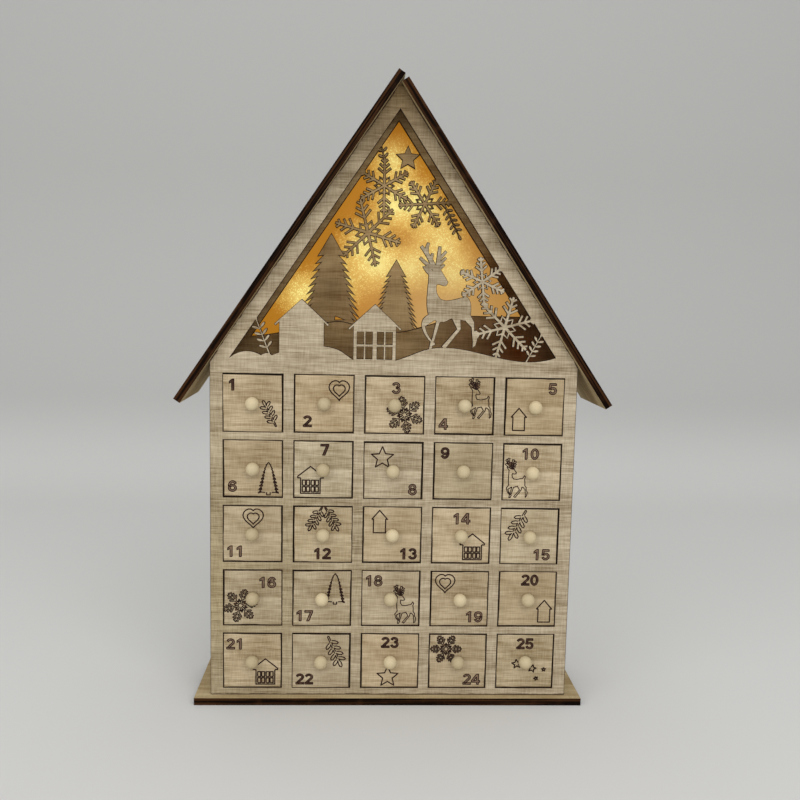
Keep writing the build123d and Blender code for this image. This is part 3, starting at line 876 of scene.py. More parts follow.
def piece(name: str, mesh: bpy.types.Mesh, body: str,
          materials: Iterable[Material]) -> bpy.types.Object:
    """Make an object of a finished mesh and set it on its body.

    Args:
        name: The piece's name.
        mesh: Its mesh, already in place.
        body: The body that it rides on.
        materials: What its slots get.

    Returns:
        The object.
    """
    made = bpy.data.objects.new(name, mesh)
    bpy.context.scene.collection.objects.link(made)
    for material in materials:
        mesh.materials.append(material)
    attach(made, body)
    log.info("%s rides on %s, %d faces", name, body, len(mesh.polygons))
    return made


def scorched_rim(node: str, width: float, material: Material) -> None:
    """Lay a thin burnt border along every cut edge of an upright board's front.

    Args:
        node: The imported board.
        width: The border's width.
        material: Its finish.
    """
    shape = merged_copy(node)
    front = min(vert.co.y for vert in shape.verts)
    away = [facet for facet in shape.faces if any(vert.co.y > front + 10 * WELD for vert in facet.verts)]
    bmesh.ops.delete(shape, geom=away, context="FACES")
    inner = shape.faces[:]
    bmesh.ops.inset_region(shape, faces=inner, thickness=width, use_boundary=True, use_even_offset=True)
    bmesh.ops.delete(shape, geom=inner, context="FACES")
    bmesh.ops.translate(shape, vec=(0, -RIM_LIFT, 0), verts=shape.verts)
    piece(f"{node}_rim", settled(shape, f"{node}_rim"), CARCASS, (material,))


class Motif(Enum):
    """What is burnt into a drawer's face beside its number."""

    NONE = 0
    TWIG = 1
    HEART = 2
    FLAKE = 3
    DEER = 4
    BIRDHOUSE = 5
    FIR = 6
    HOUSE = 7
    STAR = 8
    ARCH = 9
    STARS = 10

    @property
    def line_w(self) -> float:
        """Width of its lines, in mm."""
        wide = {Motif.FLAKE: 0.74, Motif.TWIG: 0.8, Motif.ARCH: 0.84, Motif.DEER: 0.68, Motif.FIR: 0.82}
        return wide.get(self, 0.9)


@dataclass
class Mark:
    """A number and a motif on one face, placed in mm from its centre."""

    number_at: Point
    motif: Motif = Motif.NONE
    at: Point = (0.0, 0.0)
    size: float = 1.0
    turn: float = 0.0
    dark: bool = False


def moved(strokes: Iterable[Stroke], at: Point, size: float = 1.0, turn: float = 0.0) -> list[Stroke]:
    """Scale, turn and shift strokes.

    Args:
        strokes: The strokes, in mm.
        at: Where their origin goes.
        size: Their scale.
        turn: Their turn, in degrees.

    Returns:
        The strokes in their place.
    """
    cosine, sine = size * math.cos(math.radians(turn)), size * math.sin(math.radians(turn))
    return [
        ([(at[0] + x * cosine - z * sine, at[1] + x * sine + z * cosine) for x, z in points], closed)
        for points, closed in strokes
    ]


def band(path: list[Point], width: float) -> Stroke:
    """Outline of a thick stroke along an open path.

    Args:
        path: The stroke's middle line.
        width: Its thickness.

    Returns:
        The outline.
    """
    left, right = [], []
    for before, (x, z), after in zip([path[0]] + path, path, path[1:] + [path[-1]]):
        run = Vector((after[0] - before[0], after[1] - before[1])).normalized() * width / 2
        left.append((x - run.y, z + run.x))
        right.append((x + run.y, z - run.x))
    return left + right[::-1], True


def parted(stroke: Stroke, lap: float, limit: float = 40.0) -> list[Stroke]:
    """Part a stroke at its sharp corners, where a swept line would pinch.

    Args:
        stroke: The stroke.
        lap: How far the parts run past a corner.
        limit: The turn, in degrees, that makes a corner sharp.

    Returns:
        The parts, end to end.
    """
    points, closed = stroke
    path = [Vector(point) for point in (points + points[:1] if closed else points)]
    parts, part = [], [path[0]]
    for before, here, after in zip(path, path[1:], path[2:]):
        come, go = (here - before).normalized(), (after - here).normalized()
        if come.angle(go, 0.0) > math.radians(limit):
            parts.append(part + [here + come * lap])
            part = [here - go * lap]
        else:
            part.append(here)
    parts.append(part + [path[-1]])
    return [([tuple(point) for point in part], False) for part in parts] if len(parts) > 1 else [stroke]


class Stencil:
    """Outlines of the traditional winter motifs, each in mm about its own origin."""

    DEER_UNIT = 0.386
    DEER = [
        (-18.5, 53.0), (-14.3, 47.5), (-14.8, 38.0), (-15.0, 27.0), (-13.9, 21.2), (-18.2, 15.8),
        (-16.2, 8.6), (-12.2, 3.6), (-13.2, -1.5), (-11.2, -1.5), (-9.0, 2.4), (-13.8, 8.6),
        (-15.2, 13.6), (-8.5, 17.8), (-11.4, 4.5), (-9.6, 3.4), (-5.4, 17.2), (1.4, 19.0),
        (5.3, 12.4), (-4.8, 0.4), (-2.0, -1.0),
        (8.1, 12.2), (9.5, 17.6), (11.4, 17.2), (14.9, 13.6), (16.0, 3.6), (15.8, -0.5), (18.2, 1.6),
        (19.2, 8.7), (17.1, 11.7), (16.9, 17.1), (14.4, 20.5), (14.5, 26.0), (13.5, 31.3), (15.0, 35.6),
        (13.4, 38.2), (10.5, 33.6), (0.3, 31.3), (-5.8, 32.0), (-7.9, 34.7), (-8.9, 39.5), (-8.2, 41.4),
        (-5.2, 40.8), (-2.0, 41.3), (-1.1, 43.0), (-6.5, 50.8), (-11.6, 51.2), (-15.0, 53.4),
    ]
    ANTLERS = [
        [(-9.8, 50.5), (-13.9, 58.5), (-19.6, 66.3)], [(-15.4, 60.0), (-15.8, 64.5), (-14.7, 68.6)],
        [(-12.9, 56.5), (-12.0, 61.8)], [(-9.4, 51.2), (-14.8, 54.2), (-20.2, 58.8)],
        [(-8.6, 49.5), (-7.9, 58.0), (-7.2, 66.3)], [(-7.8, 57.6), (-2.9, 63.2)],
        [(-7.9, 54.2), (-3.0, 59.0)], [(-8.2, 50.8), (-4.0, 54.6)],
    ]
    TINE_W = 3.0
    HEART_WAVES = (15.6, -3.6, -1.8, -0.7)
    BARBS = ((0.42, 0.30), (0.62, 0.25), (0.82, 0.15))
    PETAL = ((0.09, 0.0), (0.2, 0.065), (0.31, 0.0), (0.2, -0.065))
    PANES_X, PANES_Z = (-0.66, -0.24, 0.24, 0.66), (-1.9, -6.4)

    @staticmethod
    def twig(length: float = 19.4) -> list[Stroke]:
        """Leafy twig along X, its root at the origin and each leaf open to the stem.

        Args:
            length: From the root to the last leaf's tip.

        Returns:
            The strokes.
        """
        leaf, half, pairs, lean = length * 0.22, length * 0.046, 4, 56
        stem, stagger, before, after = 0.45, 0.45, 0.35, 0.75
        bare, leafy, tip = length * 0.17, length * 0.53, length - leaf
        near = [(0.4, half * 0.6), (leaf * 0.45, half), (leaf * 0.85, half * 0.8)]
        blade = [(near + [(leaf, 0.0)] + [(x, -z) for x, z in reversed(near)], False)]
        strokes = [([(0.0, stem), (0.0, -stem)], False)] + moved(blade, (tip, 0.0))
        for side in (1, -1):
            last = 0.0
            for i in range(pairs):
                root = bare + leafy * i / (pairs - 1) + (stagger - stagger * side)
                strokes += moved(blade, (root, side * stem * 0.6), 1, side * lean)
                strokes.append(([(last, side * stem), (root - before, side * stem)], False))
                last = root + after
            strokes.append(([(last, side * stem), (tip + 0.4, side * stem)], False))
        return strokes

    def arch(self) -> list[Stroke]:
        """Two twigs that part from one point and hang to each side."""
        return moved(self.twig(19.0), (-0.9, 0.0), 1, 241) + moved(self.twig(19.0), (0.9, 0.0), 1, -61)

    def heart(self, width: float = 13.7) -> list[Stroke]:
        """One heart inside another.

        Args:
            width: The outer heart's width.

        Returns:
            The strokes.
        """
        def outline(share: float, steps: int = 28) -> Stroke:
            """A heart, scaled about the middle.

            Args:
                share: Its scale.
                steps: How many points it has.

            Returns:
                The stroke.
            """
            points = []
            for step in range(steps):
                turn = 2 * math.pi * step / steps
                x = 16 * math.sin(turn) ** 3
                z = sum(size * math.cos(wave * turn) for wave, size in enumerate(self.HEART_WAVES, start=1))
                points.append((x * share * width / 32, (z + 2.6) * share * width / 32))
            return points, True

        return [outline(1.0), outline(0.58)]

    @staticmethod
    def barb(root: float, reach: float, half: float, lean: float) -> list[Point]:
        """Outline of one barb on the upper side of an arm.

        Args:
            root: Where it leaves the arm.
            reach: How long it is.
            half: Half its width, and half the arm's.
            lean: Its angle to the arm, in radians.

        Returns:
            Its points, from the arm's foot to its tip and back.
        """
        points = []
        for way, far in ((1, False), (1, True), (0, True), (-1, True), (-1, False)):
            along = half * (1 - way * math.cos(lean)) / math.sin(lean)
            if far:
                along = reach + half * (1 - abs(way))
            points.append((root + along * math.cos(lean) - way * half * math.sin(lean),
                           along * math.sin(lean) + way * half * math.cos(lean)))
        return points

    def flake(self, arm: float = 12.4) -> list[Stroke]:
        """Outline of six barbed arms, with a star of open petals at its heart.

        Args:
            arm: An arm's length.

        Returns:
            The strokes.
        """
        half, lean, fork = 0.48, math.radians(50), math.radians(30)
        side = [(arm * 0.27, half)]
        for root, reach in self.BARBS:
            side += self.barb(arm * root, arm * reach, half, lean)
        limb = [(x, -z) for x, z in side] + [(arm, -half), (arm, half)] + side[::-1]
        tip = (arm * 0.4 * math.cos(fork), arm * 0.4 * math.sin(fork))
        petal = [(arm * x, arm * z) for x, z in self.PETAL]
        edge: list[Point] = []
        strokes = []
        for step in range(6):
            edge += moved([(limb + [tip], True)], (0.0, 0.0), 1, 60 * step)[0][0]
            strokes += moved([(petal, True)], (0.0, 0.0), 1, 60 * step + 30)
        return strokes + [(edge, True)]

    def deer(self) -> list[Stroke]:
        """Striding deer, its middle at the origin."""
        drawn = [(self.DEER, True)] + [band(path, self.TINE_W) for path in self.ANTLERS]
        return moved(moved(drawn, (0.0, -33.5)), (0.0, 0.0), self.DEER_UNIT)

    @staticmethod
    def birdhouse(high: float = 15.0) -> list[Stroke]:
        """Narrow gabled box.

        Args:
            high: Its height.

        Returns:
            The strokes.
        """
        half, eave, body, foot = 4.0, 5.2, high * 0.1, -high / 2
        return [([(-eave, body), (0.0, high / 2), (eave, body), (half, body), (half, foot), (-half, foot),
                  (-half, body)], True)]

    @staticmethod
    def fir(high: float = 21.5) -> list[Stroke]:
        """Fir with sides like a saw, an open foot and a stub of trunk.

        Args:
            high: Its height.

        Returns:
            The strokes.
        """
        half, teeth, foot = high * 0.29, 9, -high / 2
        bite, fullness, droop, run, trunk = 2.3, 0.62, 0.3, 0.98, 1.2
        inner = (0.0, high / 2)
        strokes: list[Stroke] = []
        for i in range(teeth):
            share = (i + 1) / teeth
            depth = bite * min(1.0, share * 1.6)
            outer = (half * share ** fullness + depth * droop, high / 2 - high * run * share)
            strokes.append(([inner, outer], False))
            inner = (outer[0] - depth, outer[1] + depth * droop)
            strokes += [([(x, z + rise) for x, z in (outer, inner)], False) for rise in (0.0, 0.5)]
        strokes.append(([inner, (2.1, foot + 1.0)], False))
        mirrored = [([(-x, z) for x, z in points], closed) for points, closed in strokes]
        stub = [(-trunk, foot + 1.2), (-trunk, foot - 0.7), (trunk, foot - 0.7), (trunk, foot + 1.2)]
        return strokes + mirrored + [(stub, False)]

    def house(self, wide: float = 17.0) -> list[Stroke]:
        """Gabled house with eight panes.

        Args:
            wide: Its width at the eaves.

        Returns:
            The strokes.
        """
        eave, half, peak, wall, foot = wide / 2, wide * 0.385, 9.2, 2.0, -9.2
        under, over = wall - 0.6, wall + 0.4
        roof = [(-half, under), (-eave, under), (-eave, over), (0.0, peak),
                (eave, over), (eave, under), (half, under)]
        strokes = [(roof, False), ([(-half, under), (-half, foot), (half, foot), (half, under)], False)]
        w, h = half * 0.16, 1.75
        for x in [column * half for column in self.PANES_X]:
            for z in self.PANES_Z:
                strokes.append(([(x - w, z - h), (x + w, z - h), (x + w, z + h), (x - w, z + h)], True))
        return strokes

    @staticmethod
    def star(radius: float = 7.8) -> list[Stroke]:
        """Five-pointed star.

        Args:
            radius: From its middle to a point.

        Returns:
            The strokes.
        """
        points = []
        for step in range(10):
            reach = radius if step % 2 == 0 else radius * 0.45
            turn = math.radians(90 + 36 * step)
            points.append((reach * math.cos(turn), reach * math.sin(turn)))
        return [(points, True)]

    def stars(self) -> list[Stroke]:
        """Two small stars and two smaller ones."""
        strokes = moved(self.star(3.4), (-5.4, -2.2), 1, 8) + moved(self.star(2.9), (5.6, -5.5), 1, -14)
        return strokes + moved(self.star(1.5), (13.7, -6.2)) + moved(self.star(1.5), (8.5, -12.7), 1, 20)

    def strokes(self, mark: Mark) -> list[Stroke]:
        """The strokes of one face's motif, in place.

        Args:
            mark: What the face carries.

        Returns:
            The strokes, in mm from the face's centre.
        """
        makers: dict[Motif, Callable[..., list[Stroke]]] = {
            Motif.TWIG: self.twig, Motif.HEART: self.heart, Motif.FLAKE: self.flake,
            Motif.DEER: self.deer, Motif.BIRDHOUSE: self.birdhouse, Motif.FIR: self.fir,
            Motif.HOUSE: self.house, Motif.STAR: self.star, Motif.ARCH: self.arch, Motif.STARS: self.stars,
        }
        if mark.motif is Motif.NONE:
            return []
        return moved(makers[mark.motif](), mark.at, mark.size, mark.turn)


MARKS = [
    Mark((-13.4, 12.2), Motif.TWIG, (15.6, -15.4), 1.0, 117.0, True),
    Mark((-11.2, -12.0), Motif.HEART, (9.8, 8.8), 1.0, 0.0, True),
    Mark((0.8, 11.5), Motif.FLAKE, (6.7, -6.4), 1.0, 41.0),
    Mark((-13.8, -12.7), Motif.DEER, (10.9, 4.8)),
    Mark((11.8, 12.4), Motif.BIRDHOUSE, (-10.5, -8.5)),
    Mark((-13.7, -12.2), Motif.FIR, (10.3, -6.5)),
    Mark((0.9, 13.5), Motif.HOUSE, (-8.5, -7.2), 1.0, 0.0, True),
    Mark((13.5, -12.7), Motif.STAR, (-7.2, 8.8)),
    Mark((-12.5, 12.2), dark=True),
    Mark((-1.5, 12.6), Motif.DEER, (-10.0, -4.1)),
    Mark((-11.6, -12.4), Motif.HEART, (0.5, 10.2)),
    Mark((-0.6, -13.4), Motif.ARCH, (0.2, 19.0), 1.0, 0.0, True),
    Mark((11.0, -13.4), Motif.BIRDHOUSE, (-8.7, 8.9), 1.03, 0.0, True),
    Mark((0.0, 11.6), Motif.HOUSE, (8.1, -7.9), 0.98),
    Mark((8.9, -12.7), Motif.TWIG, (-2.6, 18.1), 1.22, 241.5),
    Mark((9.6, 10.6), Motif.FLAKE, (-8.4, -5.8), 0.95, 13.0),
    Mark((-12.0, -12.5), Motif.FIR, (8.9, 6.9), 0.97),
    Mark((-11.7, 12.1), Motif.DEER, (10.2, -4.4)),
    Mark((10.2, -12.8), Motif.HEART, (-10.2, 10.6), 0.98),
    Mark((1.4, 13.2), Motif.BIRDHOUSE, (12.0, -8.9), 1.03, 0.0, True),
    Mark((-11.7, 11.7), Motif.HOUSE, (8.9, -7.9), 0.98),
    Mark((-11.2, -13.1), Motif.TWIG, (4.8, 17.4), 1.22, -66.5, True),
    Mark((-0.2, 13.0), Motif.STAR, (-1.4, -11.6), 0.98, 0.0, True),
    Mark((10.1, -13.2), Motif.FLAKE, (-8.1, 8.6), 0.86),
    Mark((0.0, 12.3), Motif.STARS, dark=True),
]


class Figures:
    """Bold upright figures as outlines of thick strokes, one unit high about their middle."""

    THICK = 0.165
    WIDE = 1.08
    ADVANCE = 0.84

    @staticmethod
    def arc(middle: Point, across: float, tall: float, start: float, end: float) -> list[Point]:
        """Points on part of an oval.

        Args:
            middle: The oval's middle.
            across: Its half width.
            tall: Its half height.
            start: First angle, in degrees.
            end: Last angle, in degrees.

        Returns:
            The points.
        """
        steps = 16
        turns = [math.radians(start + (end - start) * step / steps) for step in range(steps + 1)]
        return [(middle[0] + across * math.cos(turn), middle[1] + tall * math.sin(turn)) for turn in turns]

    def limb(self, path: list[Point]) -> Outline:
        """Outline of one thick stroke."""
        return [band(path, self.THICK)]

    def ring(self, middle: Point, across: float, tall: float) -> Outline:
        """Outer and inner outline of a thick oval."""
        sides = [way * self.THICK / 2 for way in (1, -1)]
        return [(self.arc(middle, across + side, tall + side, 0, 345), True) for side in sides]

    def figure(self, sign: str) -> list[Outline]:
        """The outlines of one figure.

        Args:
            sign: A figure from 0 to 9.

        Returns:
            Its closed shapes, each by itself.
        """
        if sign == "0":
            return [self.ring((0, 0), 0.25, 0.42)]
        if sign == "1":
            return [[([(0.14, -0.5), (0.14, 0.5), (0.0, 0.5), (-0.24, 0.3), (-0.24, 0.13), (-0.04, 0.24),
                       (-0.04, -0.5)], True)]]
        if sign == "2":
            foot = [(-0.34, -0.5), (0.34, -0.5), (0.34, -0.33), (-0.34, -0.33)]
            return [self.limb(self.arc((0, 0.2), 0.25, 0.215, 165, -40) + [(-0.2, -0.36)]), [(foot, True)]]
        if sign == "3":
            return [self.limb(self.arc((-0.01, 0.22), 0.23, 0.2, 165, -85)),
                    self.limb(self.arc((0, -0.19), 0.26, 0.23, 85, -165))]
        if sign == "4":
            edge = [(0.08, -0.5), (0.08, -0.29), (-0.37, -0.29), (-0.37, -0.12), (0.05, 0.5), (0.25, 0.5),
                    (0.25, -0.12), (0.37, -0.12), (0.37, -0.29), (0.25, -0.29), (0.25, -0.5)]
            return [[(edge, True), ([(0.08, -0.12), (0.08, 0.22), (-0.17, -0.12)], True)]]
        if sign == "5":
            top = [(0.3, 0.5), (-0.26, 0.5), (-0.33, -0.03), (-0.16, -0.03), (-0.12, 0.33), (0.3, 0.33)]
            return [[(top, True)], self.limb(self.arc((0, -0.17), 0.25, 0.25, 140, -160))]
        if sign == "7":
            return [[([(-0.34, 0.5), (0.34, 0.5), (0.34, 0.36), (0.02, -0.5), (-0.18, -0.5), (0.13, 0.33),
                       (-0.34, 0.33)], True)]]
        if sign == "8":
            return [self.ring((0, 0.22), 0.22, 0.2), self.ring((0, -0.19), 0.26, 0.23)]
        six = [self.ring((0, -0.17), 0.26, 0.25), self.limb(self.arc((0.02, 0), 0.28, 0.42, 185, 35))]
        return [moved(outline, (0.0, 0.0), 1.0, 180.0) for outline in six] if sign == "9" else six

    def outlines(self, number: int, at: Point, height: float) -> list[Outline]:
        """The outlines of a whole number.

        Args:
            number: The number.
            at: Where its middle goes, in mm.
            height: Its height, in mm.

        Returns:
            The closed shapes, in mm.
        """
        signs = str(number)
        drawn = []
        for place, sign in enumerate(signs):
            aside = (place - (len(signs) - 1) / 2) * self.ADVANCE
            for outline in self.figure(sign):
                wide = [([(x * self.WIDE + aside, z) for x, z in points], closed)
                        for points, closed in outline]
                drawn.append(moved(wide, at, height))
        return drawn


@dataclass
class Pen:
    """A burning beam: draws lines flat in X and Y and lays them on an upright face as thin relief."""

    width: float
    relief: float = 0.04 * MM
    lap: float = 0.3

    def started(self, name: str, strokes: Iterable[Stroke] = ()) -> bpy.types.Curve:
        """Start a drawing of this pen's width.

        Args:
            name: The drawing's name.
            strokes: Straight strokes that it holds from the start, in mm.

        Returns:
            The drawing.
        """
        line = bpy.data.curves.new(name, "CURVE")
        line.dimensions, line.fill_mode, line.resolution_u = "3D", "FULL", 6
        line.bevel_depth, line.bevel_resolution = self.width / 2, 0
        for points, closed in strokes:
            spline = line.splines.new("POLY")
            spline.points.add(len(points) - 1)
            for point, (x, z) in zip(spline.points, points):
                point.co = (x * MM, z * MM, 0, 1)
            spline.use_cyclic_u = closed
        return line

    def lines(self, name: str, strokes: Iterable[Stroke]) -> bpy.types.Curve:
        """Draw straight strokes, in mm, at their full width round every corner."""
        lap = self.lap * self.width / MM
        return self.started(name, [part for stroke in strokes for part in parted(stroke, lap)])

    def patch(self, name: str, outline: Outline) -> bpy.types.Curve:
        """Fill one closed shape.

        Args:
            name: The drawing's name.
            outline: Its outer line and those of its holes, in mm.

        Returns:
            The drawing.
        """
        flat = self.started(name, outline)
        flat.dimensions, flat.fill_mode, flat.bevel_depth = "2D", "BOTH", 0.0
        return flat

    def bow(self, name: str, points: list[Point]) -> bpy.types.Curve:
        """Draw one smooth line.

        Args:
            name: The drawing's name.
            points: What it runs through, in mm.

        Returns:
            The drawing.
        """
        line = self.started(name)
        spline = line.splines.new("BEZIER")
        spline.bezier_points.add(len(points) - 1)
        for point, (x, z) in zip(spline.bezier_points, points):
            point.co = (x * MM, z * MM, 0)
            point.handle_left_type = point.handle_right_type = "AUTO"
        return line

    def lay(self, curve: bpy.types.Curve, at: Vector, shape: Shape) -> None:
        """Lay a drawing on a face that looks to the front.

        Args:
            curve: The drawing.
            at: Where its origin goes, in metres.
            shape: The mesh that takes it.
        """
        made = bpy.data.objects.new(curve.name, curve)
        bpy.context.scene.collection.objects.link(made)
        bpy.context.view_layer.update()
        mesh = bpy.data.meshes.new_from_object(made.evaluated_get(bpy.context.evaluated_depsgraph_get()))
        bpy.data.objects.remove(made)
        flat = Matrix.Diagonal((1, 1, 2 * self.relief / self.width, 1))
        mesh.transform(Matrix.Translation(at) @ Matrix.Rotation(math.pi / 2, 4, "X") @ flat)
        shape.from_mesh(mesh)
        bpy.data.meshes.remove(mesh)


@dataclass
class Drawer:
    """One drawer: its boxed boards, turned knob and burnt marks."""

    number: int
    mark: Mark
    face_finish: Ply
    tray_finish: Material
    knob_finish: Material
    line_finish: Material
    core_finish: Material
    knob_r: float = 4.5 * MM
    knob_seat_r: float = 3.2 * MM
    knob_length: float = 8.0 * MM
    knob_steps: int = 32
    knob_rings: int = 12
    number_line_w: float = 0.66 * MM
    number_height: float = 7.4
    core_lift: float = 0.004 * MM
    rim_w: float = 0.34 * MM
    node: str = field(init=False)
    shape: Shape = field(init=False)
    face_low: Vector = field(init=False)
    face_high: Vector = field(init=False)

    def __post_init__(self) -> None:
        """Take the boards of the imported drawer, without its knob, and read the face's corners."""
        self.node = f"drawer_{self.number:02d}"
        shape = merged_copy(self.node)
        parts = sorted(islands(shape), key=lambda part: min(vert.co.y for vert in part))
        face = parts[1]
        self.face_low = Vector([min(vert.co[axis] for vert in face) for axis in range(3)])
        self.face_high = Vector([max(vert.co[axis] for vert in face) for axis in range(3)])
        bmesh.ops.delete(shape, geom=parts[0], context="VERTS")
        self.shape = shape

    @property
    def centre(self) -> Vector:
        """Middle of the face's front."""
        middle = (self.face_low + self.face_high) / 2
        return Vector((middle.x, self.face_low.y, middle.z))

    def box(self) -> None:
        """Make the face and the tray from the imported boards, each in its own finish."""
        for facet in self.shape.faces:
            facet.material_index = 0 if facet.calc_center_median().y < self.face_high.y + WELD else 1
        mesh = settled(self.shape, f"{self.node}_box")
        half = (self.face_high - self.face_low) / 2
        front = self.face_finish.make(Lie.FACING, self.centre, (half.x, half.z, self.rim_w))
        made = piece(f"{self.node}_box", mesh, self.node, (front, self.tray_finish))
        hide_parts(self.node)

    def knob(self) -> None:
        """Turn the bead knob."""
        shape = bmesh.new()
        first = math.asin(self.knob_seat_r / self.knob_r)
        belly = self.knob_length / (1 + math.cos(first))
        profile = []
        for step in range(self.knob_rings + 1):
            turn = first + (math.pi - first) * step / self.knob_rings
            reach = self.knob_r * math.sin(turn) if step < self.knob_rings else 0.0
            along = belly * (math.cos(first) - math.cos(turn))
            profile.append(shape.verts.new(self.centre + Vector((reach, -along, 0))))
        hub = shape.verts.new(self.centre)
        rim = [shape.edges.new(pair) for pair in zip([hub] + profile, profile)]
        bmesh.ops.spin(shape, geom=rim + profile + [hub], cent=self.centre, axis=(0, 1, 0),
                       angle=2 * math.pi, steps=self.knob_steps, use_merge=True)
        bmesh.ops.remove_doubles(shape, verts=shape.verts, dist=WELD)
        bmesh.ops.recalc_face_normals(shape, faces=shape.faces)
        mesh = settled(shape, f"{self.node}_knob", smooth=True)
        piece(f"{self.node}_knob", mesh, self.node, (self.knob_finish,))

    def marks(self) -> None:
        """Burn the number and the motif into the face."""
        shape = bmesh.new()
        fine, broad = Pen(self.number_line_w), Pen(self.mark.motif.line_w * MM)
        shapes = Figures().outlines(self.number, self.mark.number_at, self.number_height)
        lifted = self.centre - Vector((0, self.core_lift, 0))
        for outline in shapes:
            fine.lay(fine.patch(f"{self.node}_core", outline), lifted, shape)
        for facet in shape.faces:
            facet.material_index = 1
        number = [stroke for outline in shapes for stroke in outline]
        for pen, strokes in ((fine, number), (broad, Stencil().strokes(self.mark))):
            pen.lay(pen.lines(f"{self.node}_marks", strokes), self.centre, shape)
        mesh = settled(shape, f"{self.node}_marks")
        piece(f"{self.node}_marks", mesh, self.node, (self.line_finish, self.core_finish))

    def build(self) -> None:
        """Make the drawer's three pieces."""
        self.box()
        self.knob()
        self.marks()


@dataclass
class Drawers:
    """The twenty-five drawers, each of a slightly different veneer."""

    pale: tuple[int, int, int] = (198, 183, 155)
    brown: tuple[int, int, int] = (137, 120, 91)
    seed: int = 12
    light: tuple[float, float] = (-8, 8)
    warm: tuple[float, float] = (-1, 5)
    contrast: tuple[float, float] = (2.4, 3.4)
    tray: Ply = Ply("tray_ply", paint(205, 186, 150), paint(172, 150, 112), burn=0.35)
    core: Engraved = Engraved("burnt_core", paint(112, 90, 74), paint(136, 114, 92))
    dark_core: Engraved = Engraved("burnt_dark_core", paint(62, 42, 33), paint(96, 73, 58))
    knobs: tuple[Turned, ...] = (Turned("pale_bead"),
                                 Turned("bead", paint(208, 193, 158), paint(184, 166, 130)),
                                 Turned("dull_bead", paint(194, 178, 144), paint(172, 155, 120)))

    def build(self) -> None:
        """Build each drawer with its own tone."""
        draw = random.Random(self.seed)
        tray, line = self.tray.make(Lie.FLAT), Engraved().make()
        knobs = [knob.make() for knob in self.knobs]
        cores = [core.make() for core in (self.core, self.dark_core)]
        for number, mark in enumerate(MARKS, start=1):
            light, warm = draw.uniform(*self.light), draw.uniform(*self.warm)
            tones = [
                paint(round(tone[0] + light + warm), round(tone[1] + light), round(tone[2] + light - warm))
                for tone in (self.pale, self.brown)
            ]
            contrast = draw.uniform(*self.contrast)
            finish = Ply(f"drawer_ply_{number:02d}", tones[0], tones[1], contrast=contrast)
            Drawer(number, mark, finish, tray, draw.choice(knobs), line, cores[mark.dark]).build()


@dataclass
class House:
    """The boards of the house, kept as packed and dressed by how they lie."""

    # Front panel: its two tone patches about the apex are painted shadow under the roof's peak, and the
    # third darkens it towards the lower left; its gable seam lines are partly scorch and partly painted
    # shade in the joints with the roof and the base.
    front: Ply = Ply("front_ply", paint(200, 186, 160), paint(132, 115, 88), contrast=3.2, broad=0.55,
                     toast=paint(62, 38, 21), gable=(0.4166, 0.005),
                     stains=(Stain((0, -0.029, 0.418), 0.095, (0.64, 0.51, 0.34, 1)),
                             Stain((0, -0.029, 0.418), 0.240, (0.58, 0.57, 0.54, 1)),
                             Stain((-0.125, -0.029, 0.08), 0.220, (0.78, 0.75, 0.62, 1))))
    wall: Ply = Ply("wall_ply", paint(196, 180, 150), paint(146, 128, 96), broad=0.8)
    board: Ply = Ply("board_ply", paint(192, 174, 136), paint(152, 131, 94), char=paint(15, 7, 4),
                     toast=paint(62, 38, 20), gloss=0.03)
    inner: Ply = Ply("inner_ply", paint(202, 184, 148), paint(170, 150, 112), burn=0.55)
    rim_w: float = 0.26 * MM

    def build(self) -> None:
        """Dress every board."""
        facing, standing = self.wall.make(Lie.FACING), self.wall.make(Lie.STANDING)
        inner_flat, inner_standing = self.inner.make(Lie.FLAT), self.inner.make(Lie.STANDING)
        dress("front_panel", self.front.make(Lie.FACING))
        scorched_rim("front_panel", self.rim_w, Engraved("burnt_rim").make())
        dress("back_panel", facing)
        for node in ("side_left", "side_right"):
            dress(node, standing)
        for node, lie in (("base_plate", Lie.FLAT), ("roof_left", Lie.LEFT_SLOPE),
                          ("roof_right", Lie.RIGHT_SLOPE)):
            dress(node, self.board.make(lie, middle(node)))
        for node in ["loft_floor"] + [f"shelf_{i}" for i in range(1, 6)]:
            dress(node, inner_flat)
        for node in [f"divider_{i}" for i in range(1, 5)]:
            dress(node, inner_standing)


